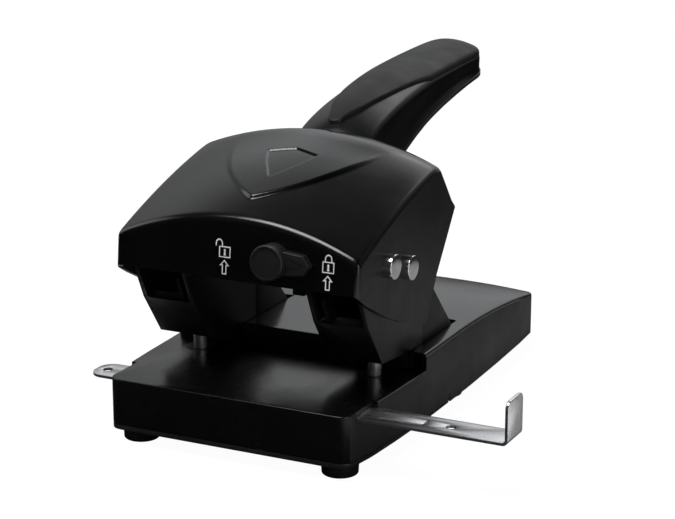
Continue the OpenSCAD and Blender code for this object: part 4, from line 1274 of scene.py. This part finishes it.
for name, place in FEET.items():
    foot = turned(name + "_pad", FOOT_RADIUS, 0, FOOT_HIGH)
    edit(foot)
    choose("FACE", lambda f: f.normal.z < -0.9)
    narrow = FOOT_TREAD / FOOT_RADIUS
    bpy.ops.transform.resize(value=(narrow, narrow, 1), center_override=(0, 0, 0))
    bpy.ops.mesh.inset(thickness=FOOT_RIM)
    bpy.ops.mesh.inset(thickness=CUP_SLOPE)
    bpy.ops.transform.translate(value=(0, 0, CUP_DEPTH))
    choose("EDGE", lambda e: sharp(e, 50) and middle(e).z < 0.01)
    bevel(TREAD_ROUND, 4)
    done(foot, "tray" if name.startswith("front") else "base", "rubber", "rubber", name + "_foot",
         place=Matrix.Translation((*place, 0)))

# %% [markdown]
# ## Paper guide
# The strip is drawn in plan, with two holes and a sprung tongue. Its end is then spun through a quarter
# turn, as a folding tool would bend it, and drawn up to make the stop. The tongue is what is left of the
# strip inside a narrow slot that runs round three of its sides.

# %% Paper guide
GUIDE_FRONT, GUIDE_BACK = -44.5, -29.5
GUIDE_MID = (GUIDE_FRONT + GUIDE_BACK) / 2
GUIDE_LOW, GUIDE_TOP = 23.8, 25.0
GUIDE_LEFT, STOP_FACE, HOOK_TOP = -67.0, 113.8, 41.0
BEND_RADIUS = 1.0
TAIL_CORNER, HOOK_CORNER = 6.0, 3.0
# x where the tongue's slot starts and ends
TONGUE = (61.0, 79.5)
TONGUE_HALF, TONGUE_SLOT = 2.5, 0.9
GUIDE_HOLES, GUIDE_BORE = (-62.0, 89.3), 2.0
# the cutters reach from below the strip to above it
CUT_LOW, CUT_HIGH = 20, 30
STRIP_ROUND = 0.14


def quarter(x, y, radius, start, count=8):
    """Points of a quarter circle from a start angle, in degrees."""
    return [(x + radius * math.cos(math.radians(start + 90 * i / count)),
             y + radius * math.sin(math.radians(start + 90 * i / count))) for i in range(count + 1)]


bend_x, bend_z = STOP_FACE - BEND_RADIUS, GUIDE_TOP + BEND_RADIUS
tail_x = GUIDE_LEFT + TAIL_CORNER
guide = plate("guide_strip",
              [(bend_x, GUIDE_FRONT), (bend_x, GUIDE_BACK)]
              + quarter(tail_x, GUIDE_BACK - TAIL_CORNER, TAIL_CORNER, 90)
              + quarter(tail_x, GUIDE_FRONT + TAIL_CORNER, TAIL_CORNER, 180), GUIDE_LOW, GUIDE_TOP)
edit(guide)
choose("FACE", lambda f: f.normal.x > 0.99)
bpy.ops.mesh.spin(steps=10, angle=math.pi / 2, center=(bend_x, 0, bend_z), axis=(0, 1, 0))
draw_out(HOOK_TOP - bend_z)
choose("EDGE", lambda e: on_top(e, HOOK_TOP) and abs(e.verts[0].co.x - e.verts[1].co.x) > 1)
bevel(HOOK_CORNER, 8)
face_out(guide)
slot_low, slot_high = GUIDE_MID - TONGUE_HALF, GUIDE_MID + TONGUE_HALF
x0, x1 = TONGUE
cut(guide, plate("slot", [
    (x0, slot_low - TONGUE_SLOT), (x1, slot_low - TONGUE_SLOT), (x1, slot_high + TONGUE_SLOT),
    (x0, slot_high + TONGUE_SLOT), (x0, slot_high), (x1 - TONGUE_SLOT, slot_high),
    (x1 - TONGUE_SLOT, slot_low), (x0, slot_low)], CUT_LOW, CUT_HIGH))
for x in GUIDE_HOLES:
    cut(guide, turned("hole", GUIDE_BORE, CUT_LOW, CUT_HIGH, 40, (x, GUIDE_MID)))
edit(guide)
choose("EDGE", lambda e: sharp(e, 60))
bevel(STRIP_ROUND)
done(guide, "guide", "nickel", "nickel", "paper_guide")

# %% [markdown]
# ## Rear cover
# The cover is a low shell over the rear of the base. Its outline bulges like the base's, and its height
# follows the side wall's top edge, which falls faster and faster to the rear. It is laid as a sheet, its
# rim is rolled down to the seam, and the pockets for the punch frames are cut out of the skin.

# %% Cover lines
# the base: half its width at its belly, what it loses towards its ends, and its front and rear
BASE_HALF, BULGE, BELLY_Y = 57.2, 3.7, 20.0
FRONT_Y, REAR_Y = -51.2, 143.8
COVER_Y = 12.8
# the seam's height over the table, its drop to the rear, where that starts, and how it steepens
SEAM_RISE, SEAM_DROP, SEAM_FROM, SEAM_POWER = 6.0, 10.0, 49.0, 1.8
COVER_INSET, COVER_CORNER = 0.4, 5.1
# the cover over the seam: its edge, the crown in its middle, and how flat that crown is
COVER_EDGE, COVER_CROWN, CROWN_POWER = 1.1, 1.4, 3
COVER_WALL, COVER_ROLL, COVER_ROUND = 1.2, 0.9, 0.25
# the rolled rim ends this far over the seam, and the front rim this far over the table
SEAM_GAP, TABLE_GAP = 0.15, 0.05
# inner and outer x and rear y of the frames' pockets
POCKET = (26.2, 50.6, 58.4)


def seam_height(y):
    past = max(0.0, y - SEAM_FROM) / (REAR_Y - SEAM_FROM)
    return TABLE + SEAM_RISE - SEAM_DROP * min(1.0, past) ** SEAM_POWER


def base_half(y):
    """Half width of the base, which bulges on either side of its belly."""
    reach = BELLY_Y - FRONT_Y if y < BELLY_Y else REAR_Y - BELLY_Y
    return BASE_HALF - BULGE * ((y - BELLY_Y) / reach) ** 2


def cover_half(y):
    """Half width of the cover, with its rounded rear corners, in from the rolled rim."""
    corner = COVER_CORNER - COVER_ROLL
    past = max(0.0, y - (REAR_Y - COVER_INSET - COVER_CORNER))
    half = base_half(y) - COVER_INSET - COVER_ROLL
    return half - corner + math.sqrt(max(0.0, corner ** 2 - past ** 2)) if past else half


def cover_top(across, y):
    rise = COVER_CROWN * (1 - abs(across) ** CROWN_POWER)
    return (across * cover_half(y), y, seam_height(y) + COVER_EDGE + rise)


def cover_out(corner):
    """Outwards from the cover's outline: sideways, rearwards, or radially at a rear corner."""
    centre_y = REAR_Y - COVER_INSET - COVER_CORNER
    if corner.y < centre_y:
        return Vector((math.copysign(1, corner.x), 0, 0))
    centre_x = base_half(REAR_Y) - COVER_INSET - COVER_CORNER
    x = corner.x - math.copysign(min(abs(corner.x), centre_x), corner.x)
    return Vector((x, corner.y - centre_y, 0)).normalized()


def to_seam(corner):
    return Vector((corner.x, corner.y, seam_height(corner.y) + SEAM_GAP))


def to_table(corner):
    return Vector((corner.x, corner.y, TABLE + TABLE_GAP))


# %% Rear cover
cover_end = REAR_Y - COVER_INSET - COVER_ROLL
# rows close up towards the rear, where the corners turn; these are distances from the end
CORNER_ROWS = (3.6, 2.9, 2.1, 1.4, 0.8, 0.35, 0.08, 0)
cover_rows = steps(COVER_Y, cover_end - 4.2, 56) + [cover_end - distance for distance in CORNER_ROWS]
cover = sheet("cover_shell", steps(-1, 1, 36), cover_rows, cover_top)
edit(cover)
inner_x, outer_x, pocket_y = POCKET
split(((0, pocket_y, 0), (0, 1, 0)),
      *(((x, 0, 0), (1, 0, 0)) for x in (-outer_x, -inner_x, inner_x, outer_x)))
choose("FACE", lambda f: inner_x < abs(f.calc_center_median().x) < outer_x
       and f.calc_center_median().y < pocket_y)
bpy.ops.mesh.delete(type="FACE")
choose("EDGE", lambda e: is_rim(e) and middle(e).y > COVER_Y + 0.01
       and (abs(middle(e).x) > outer_x + 0.1 or middle(e).y > cover_end - 5))
roll_edge(round_over(lambda y: COVER_ROLL, 4, cover_out) + [to_seam])
choose("EDGE", lambda e: is_rim(e) and middle(e).y < COVER_Y + 0.01 and abs(middle(e).x) < inner_x)
roll_edge([to_table])
face_out(cover)
modify(cover, "SOLIDIFY", thickness=COVER_WALL, offset=-1, use_even_offset=True, use_rim=True)
edit(cover)
choose("EDGE", lambda e: sharp(e, 60) and middle(e).y < pocket_y + 1 and middle(e).z > TABLE + 5
       and abs(middle(e).x) < outer_x + 0.5)
bevel(COVER_ROUND)
done(cover, "base", "cover_black", "gloss_abs", "rear_cover", angle=40)

# %% [markdown]
# ## Base, frames and tray
# These are folded or cast pieces with flat faces, so they start from the CAD shape itself. The triangles
# are merged back to whole faces, and the edges that the eye and the hand meet are rounded. Edges of
# bores are left alone.

# %% Base
BASE_ROUND, FRAME_ROUND = 0.5, 0.3
NEAR = 0.1
# the rounded corners of the base reach this far in from its sides, and from its front and rear
CORNER_X, CORNER_Y = 6.0, 5.6
# an outer side wall looks this much sideways, and lies beyond this x
SIDE_LOOK, SIDE_X = 0.8, 50
# an edge is level when it climbs less than this share of its length
LEVEL = 0.6


def is_outline(corner):
    """True on the outer outline of the base."""
    inset = base_half(corner.y) - abs(corner.x)
    from_end = min(corner.y - FRONT_Y, REAR_Y - corner.y)
    return inset < NEAR or from_end < NEAR or (inset < CORNER_X and from_end < CORNER_Y)


def base_edges(edge):
    place = middle(edge)
    level = abs(edge.verts[0].co.z - edge.verts[1].co.z) < LEVEL * edge.calc_length()
    return long_and_sharp(edge) and level and is_outline(place) and place.z > TABLE - NEAR


base = solid_copy("base_shell", "base_casing")
rounded = choose("EDGE", base_edges)
bevel(BASE_ROUND, 3)
done(base, "base", "base_enamel", "enamel", "base_shell")
base.data.materials.append(FINISHES["powder"])
for face in base.data.polygons:
    face.material_index = int(abs(face.normal.x) > SIDE_LOOK and abs(face.center.x) > SIDE_X * MM)
print(rounded, "edges of the base rounded")

# %% Frames, gussets and tray
# edges of a frame are rounded before this y and below this height, those of a gusset above its foot
FRAME_Y, FRAME_Z = 10, 69
GUSSET_FOOT = TABLE + 3.5

for side in SIDES:
    frame_piece = solid_copy(side + "_punch_frame", side + "_frame")
    choose("EDGE", lambda e: long_and_sharp(e, 1.5) and middle(e).y < FRAME_Y and middle(e).z < FRAME_Z)
    bevel(FRAME_ROUND)
    done(frame_piece, "base", "frame_enamel", "frame_enamel", side + "_punch_frame")
    gusset = solid_copy(side + "_gusset", side + "_rib")
    choose("EDGE", lambda e: long_and_sharp(e, 3) and middle(e).z > GUSSET_FOOT)
    bevel(FRAME_ROUND)
    done(gusset, "base", "frame_enamel", "frame_enamel", side + "_gusset")

tray = solid_copy("chip_tray", "tray_moulding")
choose("EDGE", lambda e: long_and_sharp(e) and is_outline(middle(e)))
bevel(FRAME_ROUND)
done(tray, "tray", "tray_black", "powder", "chip_tray")

# %% [markdown]
# ## Finishes of the pieces that keep their CAD shape
# Bushes, heads, bolts, the steel lever, the lock's inside pieces, the bottom plate and the guide channel
# are plain turned or folded steel, which the CAD shape already gives. They only need their finish.

# %% Finishes on the CAD pieces
KEPT = {
    "phosphated": ["cover_bolts", "frame_bolts", "gusset_bolts", "tie_bar", "lock_catch",
                   "left_punch_head", "right_punch_head", "left_spring_seat", "right_spring_seat",
                   "lever_channel", "handle_screws", "fulcrum_spacers", "knob_spindle", "lock_cam",
                   "cam_screw", "guide_screws", "tray_hinge_pins",
                   # given the dark phosphated finish, since no bright ring shows round the pins in the
                   # table
                   "left_die_bush", "right_die_bush"],
    "ground": ["left_guide_bush", "right_guide_bush"],
    "powder": ["bottom_plate", "guide_channel"],
}

for finish_name, names in KEPT.items():
    for name in names:
        if not nodes[name].material_slots:
            nodes[name].data.materials.append(FINISHES[finish_name])
        for place in nodes[name].material_slots:
            place.link = "OBJECT"
            place.material = FINISHES[finish_name]
    print(finish_name, "on", ", ".join(names))
